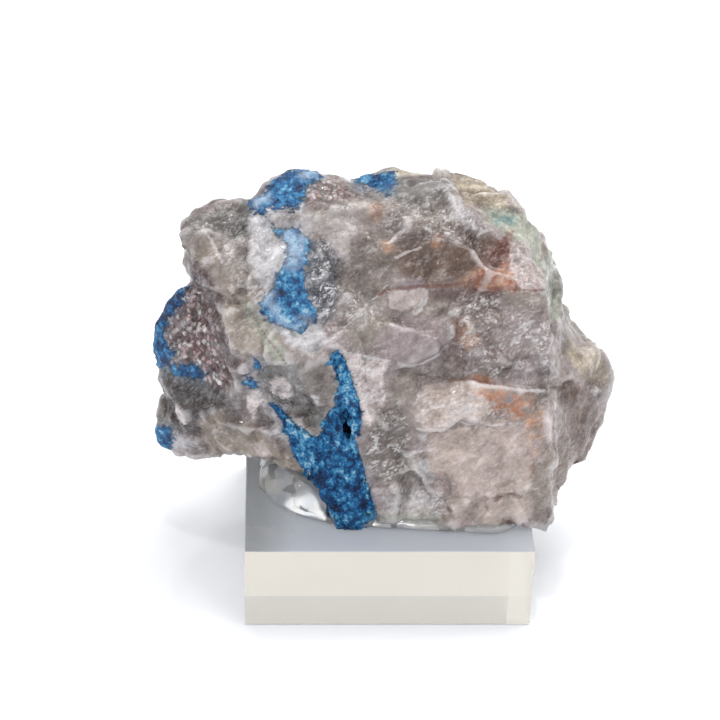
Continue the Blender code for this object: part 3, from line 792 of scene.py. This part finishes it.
def brokenFacets(points, size, edge, lean, step, offset):
    # the height of a mosaic in which each cell is a plane with its own lean and level
    shift = Vector((offset, -offset, offset * 0.3))
    cell = size * millimetre
    found = [noise.voronoi(Vector(point) / cell + shift) for point in points]
    gaps = np.array([gap[:3] for gap, spots in found])
    spots = np.array([[tuple(spot) for spot in spots[:3]] for gap, spots in found])
    away = (points / cell + np.array(shift))[:, None, :] - spots
    dice = np.sin(spots @ np.array([[12.9898, 39.346, 73.156, 21.71], [78.233, 11.135, 52.235, 93.97],
                                    [37.719, 83.155, 9.151, 47.41]])) * 43758.5453
    dice = (dice - np.floor(dice)) * 2 - 1
    height = (away * dice[:, :, :3]).sum(2) * lean * cell + dice[:, :, 3] * step * millimetre
    weight = np.exp(-(gaps - gaps[:, :1]) * size / (edge * 0.5))
    return (height * weight).sum(1) / weight.sum(1)


def planeDown(points, normals, share, flat, rise):
    # planes a patch towards the flat that fits it best
    chosen = share > 0.5
    if chosen.sum() < 12:
        return
    middle = points[chosen].mean(0)
    outward = np.linalg.svd(points[chosen] - middle, full_matrices=False)[2][2]
    if outward @ normals[chosen].mean(0) < 0:
        outward = -outward
    height = np.clip((points - middle) @ outward, -0.8 * millimetre, 0.8 * millimetre)
    points += outward * (share * (rise * millimetre - flat * height))[:, None]


def stoneSkin():
    # the stone and the crust in its hollow as one skin without the gap between the two solids
    piece = weldedCopy("quartz_stone", "quartzStone")
    crust = weldedCopy("shattuckite_crust", "crustFill")
    points = readPoints(crust)
    writePoints(crust, points + readNormals(crust) * stoneShape["veinFill"])
    selectOnly(piece)
    crust.select_set(True)
    bpy.ops.object.join()
    useModifier(piece, "REMESH", mode="VOXEL", voxel_size=stoneShape["voxel"])
    dropCrumbs(piece)
    useModifier(piece, "SMOOTH", factor=0.5, iterations=stoneShape["smoothing"])
    return piece


def spreadPaint(piece, values, seen, ground):
    # carries what is painted on the visible side a little way round the edges
    weight = seen.astype(float)
    painted = np.where(seen[:, None], values, 0.0)
    hidden = ~seen
    for ring in range(stoneShape["spill"]):
        total = neighbourMean(piece, painted * weight[:, None])
        share = neighbourMean(piece, weight)
        touched = hidden & (share > 1e-6)
        painted[touched] = total[touched] / share[touched, None]
        weight[touched] = share[touched]
    return ground + (painted - ground) * weight[:, None]


def paintStone(piece, points):
    # tone is the ground colour; the other columns are shares from 0 to 1
    skin = BVHTree.FromObject(piece, bpy.context.evaluated_depsgraph_get())
    seen = seenByCamera(skin, points)
    pixels = photoPixels(points)
    wander = np.stack([noiseAt(points, 0.9 * millimetre, 3, 3.0), noiseAt(points, 0.9 * millimetre, 3, 11.0)], 1)
    ragged = pixels + wander * stoneShape["ragged"]
    colours = {name: np.array(paint(*value)[:3]) for name, value in stoneColours.items()}
    count = len(points)
    big = softStep(noiseAt(points, 7 * millimetre, 2, 2.0) * 0.9 + 0.5)[:, None]
    other = softStep(noiseAt(points, 5 * millimetre, 2, 8.0) * 0.9 + 0.4)[:, None]
    ground = colours["lilac"] * (1 - big) + colours["beige"] * big
    ground = ground * (1 - other * 0.6) + colours["smokyGrey"] * other * 0.6
    columns = ("grain", "sparkle", "blue", "depth", "vein", "frost")
    values = np.hstack([ground, np.zeros((count, len(columns)))])
    at = {name: 3 + i for i, name in enumerate(columns)}
    shares = []
    for patch in stonePatches:
        soft = patch["soft"] * pixelsPerMillimetre
        share = softStep(0.5 + insideBy(ragged, patch["outline"]) / soft) * seen
        shares.append(share)
        strength = share * patch.get("strength", 1.0)
        if "mottle" in patch:
            strength *= softStep(0.6 + noiseAt(points, 1.5 * millimetre, 3, 17.0) * patch["mottle"])
        strength = strength[:, None]
        values[:, :3] += (colours[patch["tone"]] - values[:, :3]) * strength
        for name in ("grain", "sparkle"):
            if name in patch:
                values[:, at[name]] += (patch[name] - values[:, at[name]]) * share
    for patch in bluePatches:
        share = np.clip(0.5 + insideBy(pixels, patch["outline"]) / (2.2 * pixelsPerMillimetre), 0, 1) * seen
        values[:, at["blue"]] = np.maximum(values[:, at["blue"]], share)
        values[:, at["depth"]] = np.where(share > 0.3, patch.get("depth", 0.0), values[:, at["depth"]])
    for width, line in frostLines:
        share = np.clip(1 - lineGap(ragged, line)[0] / (width * pixelsPerMillimetre), 0, 1) * seen
        values[:, at["frost"]] = np.maximum(values[:, at["frost"]], share)
    vein = np.clip(0.5 + insideBy(pixels, veinOutline) / (1.0 * pixelsPerMillimetre), 0, 1) * seen
    values[:, at["vein"]] = vein
    values[:, at["blue"]] = np.maximum(values[:, at["blue"]], vein)
    values[:, at["depth"]] = np.maximum(values[:, at["depth"]], vein * 0.7)
    plain = np.hstack([ground, np.zeros((count, len(columns)))])
    for name, width, stroke in hiddenStrokes:
        line = [skin.find_nearest(Vector(spot) * millimetre)[0] for spot in stroke]
        share = closenessTo(points, line, width * millimetre)
        if name == "blue":
            plain[:, at["blue"]] = np.maximum(plain[:, at["blue"]], share)
        else:
            plain[:, :3] += (colours[name] - plain[:, :3]) * softStep(share * 1.5 + wander[:, :1].ravel() * 0.15)[:, None]
    values = spreadPaint(piece, values, seen, plain)
    paints = {name: values[:, at[name]] for name in columns}
    paints["tone"] = values[:, :3]
    for name, lines in stoneLines.items():
        share = np.zeros(count)
        for width, line in lines:
            gap = lineGap(pixels + wander * 0.8, line)[0]
            share = np.maximum(share, np.clip(1 - gap / (width * 1.3 * pixelsPerMillimetre), 0, 1) * seen)
        paints[name] = share
    return paints, seen, pixels, shares


def shapeStone(piece, paints, seen, pixels, shares):
    points, normals = readPoints(piece), readNormals(piece)
    plain = 1 - np.clip(paints["blue"] * 1.5, 0, 0.98)
    wander = np.stack([noiseAt(points, 4 * millimetre, 2, 6.0 + i) for i in range(3)], 1) * 0.7 * millimetre
    height = np.zeros(len(points))
    for i, facets in enumerate(stoneShape["facets"]):
        height += brokenFacets(points + wander, *facets, 5.0 + 9 * i)
    rough = np.clip((-6 * millimetre - points[:, 0]) / (8 * millimetre), 0.2, 1)
    rough = np.maximum(rough, ~seen * 1.0)
    height += brokenFacets(points + wander * 0.5, *stoneShape["roughFacets"], 31.0) * rough
    points += normals * (height * plain)[:, None]
    writePoints(piece, points)
    normals = readNormals(piece)
    for patch, share in zip(stonePatches, shares):
        if "flat" in patch:
            planeDown(points, normals, share, patch["flat"], patch.get("rise", 0.0))
    facing = normals[seen].mean(0)
    facing /= np.linalg.norm(facing)
    for left, right, fade, line in stoneSteps:
        gap, side = lineGap(pixels + wander[:, :2] / millimetre * 1.5, line)
        fall = np.exp(-gap / (fade * pixelsPerMillimetre)) * (gap < 4 * fade * pixelsPerMillimetre) * seen
        turned = softStep(0.5 + gap * side / (0.7 * pixelsPerMillimetre))
        points += facing * (fall * (right + (left - right) * turned) * millimetre)[:, None]
    vug = softStep(insideBy(pixels, vugOutline) / (0.35 * pixelsPerMillimetre)) * seen
    for spot, reach, depth in rimDents:
        gap = np.linalg.norm(pixels - np.array(spot), axis=1)
        points -= normals * (softStep(1.2 - gap / reach) * depth * millimetre)[:, None]
    writePoints(piece, points)
    normals = readNormals(piece)
    rise = noiseAt(points, 1.3 * millimetre) * stoneShape["ripple"]
    rise += noiseAt(points, 0.9 * millimetre, 3, 5.0) * stoneShape["crumble"] * np.clip(paints["grain"], 0, 1)
    blue = softStep((paints["blue"] - 0.3) * 3) * (1 - paints["vein"])
    raised = np.zeros(len(points))
    for patch in bluePatches:
        share = softStep(0.5 + insideBy(pixels, patch["outline"]) / (1.0 * pixelsPerMillimetre)) * seen
        raised = np.maximum(raised, share * patch["rise"] * millimetre)
    rise += raised + blue * (grainsAt(points, 1.0 * millimetre) - 0.4) * stoneShape["blueGrain"]
    rise -= vug * stoneShape["vugDepth"]
    points += normals * rise[:, None]
    over = softStep((stoneShape["seatTop"] - points[:, 2]) / stoneShape["seatFade"])
    over *= np.abs(points[:, :2]).max(1) < blockShape["width"] / 2 + 2 * millimetre
    points[:, 2] -= over * stoneShape["seatDrop"]
    wing = softStep((points[:, 0] - stoneShape["wingStart"]) / (3 * millimetre))
    wing *= softStep((20 * millimetre - points[:, 2]) / (5 * millimetre))
    points[:, 2] -= wing * stoneShape["wingDrop"]
    crest = softStep(lineReach(pixels, crestLine, 26)) * softStep((points[:, 2] - 49 * millimetre) / (3 * millimetre))
    points[:, 2] += crest * stoneShape["crestRise"]
    writePoints(piece, points)


def buildStone():
    piece = stoneSkin()
    points = readPoints(piece)
    print("stage: stone skin with", len(points), "points")
    paints, seen, pixels, shares = paintStone(piece, points)
    print("stage: stone painted")
    shapeStone(piece, paints, seen, pixels, shares)
    points, normals = readPoints(piece), readNormals(piece)
    soft = points
    for turn in range(3):
        soft = neighbourMean(piece, soft)
    bulge = ((points - soft) * normals).sum(1) / (0.12 * millimetre)
    bulge = neighbourMean(piece, neighbourMean(piece, bulge))
    tone = piece.data.attributes.new("tone", "FLOAT_COLOR", "POINT")
    tone.data.foreach_set("color", np.hstack([paints["tone"], np.ones((len(points), 1))]).astype(np.float32).ravel())
    for name in ("grain", "sparkle", "blue", "depth", "frost", "seam", "glint"):
        keepAttribute(piece, name, paints[name])
    # painted highlight on ridges and painted shade in creases, from how far each point stands out from its neighbours
    keepAttribute(piece, "ridgeHighlight", bulge)
    keepAttribute(piece, "creaseShade", -bulge)
    selectOnly(piece)
    bpy.ops.object.shade_smooth_by_angle(angle=math.radians(45))
    piece.data.materials.append(stoneMaterial())
    finishPiece(piece, "quartz_stone")
    return piece


def stoneMaterial():
    material, tree, shader, coords = newMaterial(
        "cloudyQuartz", Subsurface_Weight=0.08, Subsurface_Radius=(1.0, 0.85, 0.75), Subsurface_Scale=0.001, IOR=1.54,
        Coat_Roughness=0.07)
    tone = place(tree, "ShaderNodeAttribute", attribute_name="tone").outputs["Color"]
    # white is the colour of the painted highlights below; smokeAndShade is the smoky tone and also the colour of
    # painted shade
    white, smokeAndShade = paint(236, 233, 236), paint(68, 57, 55)
    clouds = noiseNode(tree, coords, 4.6, 5.0, 0.6, 0.5)
    slanted = place(tree, "ShaderNodeMapping", {
        "Vector": coords, "Rotation": (0.0, -0.65, 0.0), "Scale": (1.7, 1.0, 1.0)}, vector_type="TEXTURE").outputs[0]
    middle = noiseNode(tree, slanted, 1.5, 5.0, 0.6, 0.3)
    fine = noiseNode(tree, coords, 0.42, 4.0, 0.62)
    cells = placeGroup(tree, groups["cells"], {"Vector": coords, "Size": 1.9, "Tilt": 0.24})
    chips = placeGroup(tree, groups["cells"], {"Vector": slanted, "Size": 0.46, "Tilt": 0.6})
    specks = placeGroup(tree, groups["cells"], {"Vector": slanted, "Size": 0.26, "Tilt": 0.4})
    sparkle = attributeNode(tree, "sparkle")

    paler = place(tree, "ShaderNodeVectorMath", {0: tone, "Scale": 1.5}, operation="SCALE").outputs[0]
    paler = place(tree, "ShaderNodeVectorMath", {0: paler, 1: (0.05, 0.05, 0.05)}, operation="ADD").outputs[0]
    colour = mixPaint(tree, spread(tree, clouds, 0.54, 0.7, 0, 0.5), tone, paler)
    colour = mixPaint(tree, spread(tree, clouds, 0.5, 0.3, 0, 0.54), colour, smokeAndShade)
    colour = mixPaint(tree, spread(tree, middle, 0.53, 0.7, 0, 0.6), colour, paler)
    colour = mixPaint(tree, spread(tree, middle, 0.48, 0.3, 0, 0.3), colour, smokeAndShade)
    colour = mixPaint(tree, spread(tree, fine, 0.5, 0.32, 0, 0.14), colour, smokeAndShade)
    colour = place(tree, "ShaderNodeGamma", {"Color": colour, "Gamma": 1.2}).outputs[0]
    colour = mixPaint(tree, spread(tree, fine, 0.54, 0.7, 0, 0.3), colour, paler)
    crowd = spread(tree, middle, 0.40, 0.62, 0.05, 1.0)
    # painted glints: a few of the small facets are painted white, more where the sparkle share is high
    bright = mathNode(tree, "MAXIMUM", spread(tree, chips["Shade"], 0.80, 0.9),
                      spread(tree, specks["Shade"], 0.72, 0.86, 0, 0.9))
    glintFlecks = mathNode(tree, "MULTIPLY", bright, mathNode(tree, "MULTIPLY", crowd, mathNode(
        tree, "ADD", 0.14, mathNode(tree, "MULTIPLY", sparkle, 0.8))))
    colour = mixPaint(tree, glintFlecks, colour, white)

    wavy = place(tree, "ShaderNodeTexNoise", {"Vector": coords, "Scale": 1000 / 0.9}).outputs["Color"]
    wavy = place(tree, "ShaderNodeVectorMath", {0: wavy, "Scale": 0.0009}, operation="SCALE").outputs[0]
    spot = place(tree, "ShaderNodeVectorMath", {0: coords, 1: wavy}, operation="ADD").outputs[0]
    grains = place(tree, "ShaderNodeTexVoronoi", {"Vector": spot, "Scale": 1000 / 0.72})
    drawn = place(tree, "ShaderNodeMapping", {
        "Vector": coords, "Rotation": (0.0, -0.65, 0.0), "Scale": (3.2, 1.0, 1.0)}, vector_type="TEXTURE").outputs[0]
    # painted glint streaks: thin white streaks drawn out on a slant, more where the sparkle share is high; they also
    # lift the bump a little
    glintStreaks = 0.0
    for size, width, share in ((2.4, 0.022, 0.5), (1.1, 0.03, 0.45)):
        off = mathNode(tree, "ABSOLUTE", mathNode(tree, "SUBTRACT", noiseNode(tree, drawn, size, 4.0, 0.6, 0.4), 0.5))
        glintStreaks = mathNode(tree, "MAXIMUM", spread(tree, off, width, 0.0, 0, share), glintStreaks)
    glintStreaks = mathNode(tree, "MULTIPLY", glintStreaks, mathNode(tree, "MULTIPLY", crowd, mathNode(
        tree, "ADD", 0.3, mathNode(tree, "MULTIPLY", sparkle, 0.7))))
    colour = mixPaint(tree, glintStreaks, colour, white)
    pick = place(tree, "ShaderNodeSeparateColor", {0: grains.outputs["Color"]}).outputs[0]
    ramp = place(tree, "ShaderNodeValToRGB", {0: pick})
    ramp.color_ramp.interpolation = "CONSTANT"
    stops = ramp.color_ramp.elements
    stops[0].position, stops[0].color = 0.0, paint(88, 60, 62)
    stops[1].position, stops[1].color = 0.78, paint(222, 214, 216)
    for position, value in ((0.18, (126, 88, 90)), (0.36, (172, 150, 152)), (0.5, (110, 108, 112)), (0.62, (192, 164, 166))):
        stops.new(position).color = paint(*value)
    # the gaps between the grains are sunk a little and painted darker as shade between the grains
    hollow = spread(tree, grains.outputs["Distance"], 0.3, 0.75)
    pebbles = mixPaint(tree, mathNode(tree, "MULTIPLY", hollow, 0.85), ramp.outputs[0], smokeAndShade)
    pebbled = mathNode(tree, "MULTIPLY", attributeNode(tree, "grain"), spread(tree, middle, 0.3, 0.55, 0.35, 0.85))
    colour = mixPaint(tree, pebbled, colour, pebbles)

    # painted shade darkens the creases and a painted highlight pales the ridges
    colour = mixPaint(tree, spread(tree, attributeNode(tree, "creaseShade"), 0.15, 1.0, 0, 0.4), colour, smokeAndShade)
    colour = mixPaint(tree, spread(tree, attributeNode(tree, "ridgeHighlight"), 0.2, 1.0, 0, 0.36), colour, white)
    glint = placeGroup(tree, groups["edge"], {
        "Vector": coords, "Closeness": attributeNode(tree, "glint"), "Wander": 1.3, "Size": 0.9, "Softness": 0.16})["Mask"]
    colour = mixPaint(tree, mathNode(tree, "MULTIPLY", glint, 0.38), colour, white)
    seam = placeGroup(tree, groups["edge"], {
        "Vector": coords, "Closeness": attributeNode(tree, "seam"), "Wander": 1.2, "Size": 1.0, "Softness": 0.3})["Mask"]
    colour = mixPaint(tree, mathNode(tree, "MULTIPLY", seam, 0.6), colour, paint(96, 46, 32))
    near = attributeNode(tree, "blue")
    haze = mathNode(tree, "MULTIPLY", near, spread(tree, middle, 0.35, 0.6, 0.2, 0.8))
    colour = mixPaint(tree, haze, colour, paint(134, 158, 178))
    blue = placeGroup(tree, groups["edge"], {
        "Vector": coords, "Closeness": near, "Wander": 1.5, "Size": 0.9, "Softness": 0.09})["Mask"]
    # the druse colour carries painted shade between its tufts and painted highlights at their tips
    druse = placeGroup(tree, groups["druse"], {"Vector": coords, "Depth": attributeNode(tree, "depth"), "Tips": 0.12})
    frost = mathNode(tree, "MULTIPLY", attributeNode(tree, "frost"), spread(tree, middle, 0.3, 0.6, 0.25, 0.9))
    druseColour = mixPaint(tree, frost, druse["Colour"], paint(182, 206, 232))
    colour = mixPaint(tree, blue, colour, druseColour)
    tree.links.new(colour, shader.inputs["Base Color"])

    gloss = spread(tree, middle, 0.3, 0.7, 0.16, 0.3)
    gloss = mathNode(tree, "SUBTRACT", gloss, mathNode(tree, "MULTIPLY", sparkle, 0.08))
    gloss = mathNode(tree, "ADD", gloss, mathNode(tree, "MULTIPLY", blue, 0.38), clamp=True)
    tree.links.new(gloss, shader.inputs["Roughness"])

    wet = mathNode(tree, "MULTIPLY", spread(tree, clouds, 0.4, 0.6, 0.0, 0.6), mathNode(tree, "SUBTRACT", 1.0, blue))
    tree.links.new(wet, shader.inputs["Coat Weight"])

    lift = mathNode(tree, "ADD", 0.4, mathNode(tree, "MULTIPLY", sparkle, 1.1))
    height = mathNode(tree, "ADD", cells["Height"], mathNode(tree, "MULTIPLY", chips["Height"], lift))
    height = mathNode(tree, "ADD", height, mathNode(tree, "MULTIPLY", specks["Height"], lift))
    height = mathNode(tree, "ADD", height, mathNode(tree, "MULTIPLY", glintStreaks, 0.1))
    height = mathNode(tree, "SUBTRACT", height, mathNode(tree, "MULTIPLY", mathNode(tree, "MULTIPLY", pebbled, hollow), 0.2))
    bumpy = place(tree, "ShaderNodeMix", {0: blue, 2: height, 3: druse["Height"]}, data_type="FLOAT").outputs[0]
    bump = place(tree, "ShaderNodeBump", {"Strength": 1.0, "Distance": millimetre, "Height": bumpy}).outputs[0]
    tree.links.new(bump, shader.inputs["Normal"])
    return material


# the blue crust in the hollow

veinShape = {
    "margin": 5,  # pixels of skin that are taken round the outline
    "backLimit": -3 * millimetre,
    "cuts": 2,
    "rise": 0.16 * millimetre,
    "tuck": 0.55 * millimetre,
    "thickness": 0.8 * millimetre,
    "grainSize": 0.8 * millimetre,
    "grain": 0.4 * millimetre,
    "lumpSize": 1.8 * millimetre,
    "lump": 0.34 * millimetre,
    "ragged": 3.5,
}

# the first lines pale the crust as painted highlights along its rims and round the hole, the second darken it as
# painted shade in the hole and its deepest clefts; width in millimetres, then pixels
veinLines = {
    "rimHighlight": [
        (1.0, [(337, 360), (342, 378), (346, 394), (350, 406)]),
        (0.7, [(353, 436), (356, 450), (357, 463), (354, 479)]),
        (1.0, [(296, 430), (304, 446), (312, 462)]),
        (0.4, [(362, 470), (367, 492), (370, 512)]),
        (0.8, [(334, 424), (338, 440), (345, 448), (351, 440), (355, 424)]),
        (0.8, [(285, 416), (296, 428), (310, 438)]),
    ],
    "deepShade": [
        (2.0, [(346, 413), (348, 424), (347, 436), (346, 446)]),
        (2.6, [(322, 478), (334, 500), (343, 518)]),
        (2.0, [(320, 446), (326, 462)]),
        (1.2, [(336, 352), (340, 358)]),
        (1.8, [(352, 458), (358, 478), (364, 500)]),
    ],
}


def buildVein(stone):
    piece = stone.copy()
    piece.data = stone.data.copy()
    piece.name = "veinCrust"
    for key in list(piece.keys()):
        del piece[key]
    piece.parent = None
    bpy.context.scene.collection.objects.link(piece)
    piece.data.materials.clear()
    points = readPoints(piece)
    pixels = photoPixels(points)
    outside = (insideBy(pixels, veinOutline) < -veinShape["margin"]) | (points[:, 1] > veinShape["backLimit"])
    deletePoints(piece, outside)
    dropCrumbs(piece)
    bpy.ops.object.mode_set(mode="EDIT")
    bpy.ops.mesh.select_all(action="SELECT")
    bpy.ops.mesh.subdivide(number_cuts=veinShape["cuts"])
    bpy.ops.object.mode_set(mode="OBJECT")
    useModifier(piece, "SMOOTH", factor=0.5, iterations=4)
    points, normals = readPoints(piece), readNormals(piece)
    pixels = photoPixels(points)
    wander = np.stack([noiseAt(points, 0.9 * millimetre, 3, 3.0), noiseAt(points, 0.9 * millimetre, 3, 11.0)], 1)
    inside = insideBy(pixels + wander * veinShape["ragged"] * 0.5, veinOutline) / pixelsPerMillimetre
    share = softStep(0.5 + inside / 0.5)
    rise = share * (veinShape["rise"] + veinShape["tuck"]) - veinShape["tuck"]
    rise += share * noiseAt(points, veinShape["lumpSize"]) * veinShape["lump"]
    rise += share * (grainsAt(points, veinShape["grainSize"]) - 0.4) * veinShape["grain"]
    writePoints(piece, points + normals * rise[:, None])
    for name, lines in veinLines.items():
        near = np.zeros(len(points))
        for width, line in lines:
            near = np.maximum(near, 1 - lineGap(pixels + wander * veinShape["ragged"], line)[0] / (width * pixelsPerMillimetre))
        keepAttribute(piece, name, near)
    useModifier(piece, "SOLIDIFY", thickness=veinShape["thickness"], offset=-1.0)
    print("stage: vein with", len(piece.data.vertices), "points")
    selectOnly(piece)
    bpy.ops.object.shade_smooth()
    piece.data.materials.append(veinMaterial())
    finishPiece(piece, "shattuckite_crust")


def veinMaterial():
    material, tree, shader, coords = newMaterial("shattuckiteDruse", Roughness=0.7, IOR=1.5, Specular_IOR_Level=0.3)
    # the crust's blue, with painted shade in its hollow and clefts and painted highlights along its rims and needle
    # tips
    druse = placeGroup(tree, groups["druse"], {
        "Vector": coords, "Depth": attributeNode(tree, "deepShade"), "Tips": attributeNode(tree, "rimHighlight")})
    tree.links.new(druse["Colour"], shader.inputs["Base Color"])
    bump = place(tree, "ShaderNodeBump", {"Strength": 1.0, "Distance": millimetre, "Height": druse["Height"]}).outputs[0]
    tree.links.new(bump, shader.inputs["Normal"])
    return material


# the acrylic block

blockShape = {
    "width": 40 * millimetre,
    "height": 12.7 * millimetre,
    "edge": 0.35 * millimetre,
    "edgeSteps": 3,
}


def buildBlock():
    width, height = blockShape["width"], blockShape["height"]
    bpy.ops.object.select_all(action="DESELECT")
    bpy.ops.mesh.primitive_cube_add(size=1, location=(0, 0, height / 2))
    piece = bpy.context.object
    piece.name = "clearBlock"
    piece.scale = (width, width, height)
    bpy.ops.object.transform_apply(location=True, rotation=True, scale=True)
    bpy.ops.object.mode_set(mode="EDIT")
    bpy.ops.mesh.select_all(action="SELECT")
    bpy.ops.mesh.bevel(offset=blockShape["edge"], segments=blockShape["edgeSteps"], profile=0.6)
    bpy.ops.mesh.normals_make_consistent(inside=False)
    bpy.ops.object.mode_set(mode="OBJECT")
    bpy.ops.object.shade_smooth_by_angle(angle=math.radians(25))
    piece.data.materials.append(blockMaterial())
    finishPiece(piece, "acrylic_block")


def clearMaterial(name, ior, absorbColour, absorbDensity):
    material, tree, shader, coords = newMaterial(
        name, Base_Color=(1, 1, 1, 1), Transmission_Weight=1.0, IOR=ior, Metallic=0.0)
    absorb = place(tree, "ShaderNodeVolumeAbsorption", {"Color": absorbColour, "Density": absorbDensity})
    tree.links.new(absorb.outputs[0], tree.nodes["Material Output"].inputs["Volume"])
    return material, tree, shader, coords


# painted light on the clear block: the colours of what is seen through it and reflected in it, a greyer band low on its
# sides, a paler strip of reflection at its right end, a bluish top that is darker at its left, and a faint painted glow
blockPaintedLight = {
    "top": (234, 241, 255),
    "topLeft": (184, 190, 196),
    "front": (252, 248, 239),
    "lowShadeBand": (228, 226, 221),
    "rightReflectionStrip": (255, 252, 244),
    "paintedGlow": 0.045,  # light that wanders about inside the block
    "bandTop": 5.0,  # millimetres above the floor
    "stripStart": 16.6,  # millimetres from the middle
}


def blockMaterial():
    material, tree, shader, coords = clearMaterial("clearAcrylic", 1.49, (0.95, 0.95, 0.95, 1), 4.0)
    shader.inputs["Transmission Weight"].default_value = 0.72
    axes = place(tree, "ShaderNodeSeparateXYZ", {0: coords}).outputs
    high = mathNode(tree, "MULTIPLY", axes[2], 1000.0)
    across = mathNode(tree, "MULTIPLY", axes[0], 1000.0)
    # painted light: the base colour and a faint glow carry the bands seen through the block and reflected in it
    start, band = blockPaintedLight["stripStart"], blockPaintedLight["bandTop"]
    tint = mixPaint(tree, spread(tree, high, band - 0.15, band + 0.15), paint(*blockPaintedLight["lowShadeBand"]), paint(*blockPaintedLight["front"]))
    strip = mathNode(tree, "MULTIPLY", spread(tree, across, start - 0.1, start + 0.1), 0.8)
    tint = mixPaint(tree, strip, tint, paint(*blockPaintedLight["rightReflectionStrip"]))
    top = mixPaint(tree, spread(tree, across, -19.0, -12.0), paint(*blockPaintedLight["topLeft"]), paint(*blockPaintedLight["top"]))
    tint = mixPaint(tree, spread(tree, high, 12.45, 12.6), tint, top)
    tree.links.new(tint, shader.inputs["Base Color"])
    tree.links.new(tint, shader.inputs["Emission Color"])
    shader.inputs["Emission Strength"].default_value = blockPaintedLight["paintedGlow"]
    haze = noiseNode(tree, coords, 14, 4.0, 0.6)
    stretched = place(tree, "ShaderNodeMapping", {"Vector": coords, "Rotation": (0.0, 0.35, 0.2),
                                                  "Scale": (0.12, 1.0, 2.4)}).outputs[0]
    streak = noiseNode(tree, stretched, 0.5, 3.0, 0.6)
    scratches = spread(tree, streak, 0.68, 0.72)
    gloss = mathNode(tree, "ADD", spread(tree, haze, 0.4, 0.8, 0.02, 0.06), mathNode(tree, "MULTIPLY", scratches, 0.1))
    tree.links.new(gloss, shader.inputs["Roughness"])
    return material


# the clear glue

glueShape = {
    "voxel": 0.3 * millimetre,
    "swell": 0.36 * millimetre,
    "ripple": 0.12 * millimetre,
}


def buildGlue():
    piece = weldedCopy("mounting_glue", "clearGlue")
    useModifier(piece, "REMESH", mode="VOXEL", voxel_size=glueShape["voxel"])
    useModifier(piece, "SMOOTH", factor=0.6, iterations=30)
    points, normals = readPoints(piece), readNormals(piece)
    points += normals * (glueShape["swell"] + noiseAt(points, 4 * millimetre) * glueShape["ripple"])[:, None]
    writePoints(piece, points)
    print("stage: glue with", len(points), "points")
    selectOnly(piece)
    bpy.ops.object.shade_smooth()
    piece.data.materials.append(glueMaterial())
    finishPiece(piece, "mounting_glue")


def glueMaterial():
    material, tree, shader, coords = clearMaterial("clearGlue", 1.42, (0.96, 0.95, 0.92, 1), 20.0)
    shader.inputs["Transmission Weight"].default_value = 0.8
    lumps = noiseNode(tree, coords, 3.4, 2.0)
    tint = mixPaint(tree, spread(tree, lumps, 0.35, 0.65), paint(204, 208, 216), paint(238, 236, 230))
    tree.links.new(tint, shader.inputs["Base Color"])
    tree.links.new(spread(tree, lumps, 0.3, 0.8, 0.03, 0.1), shader.inputs["Roughness"])
    bump = place(tree, "ShaderNodeBump", {
        "Strength": 0.15, "Distance": millimetre, "Height": mathNode(tree, "MULTIPLY", lumps, 0.2)}).outputs[0]
    tree.links.new(bump, shader.inputs["Normal"])
    return material


def finishPiece(piece, nodeName):
    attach(piece, "root")
    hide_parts(nodeName)


addCamera()
makeGroups()
addStudio()
print("stage: camera and studio")
stone = buildStone()
buildVein(stone)
buildBlock()
buildGlue()
print("stage: all pieces in place")
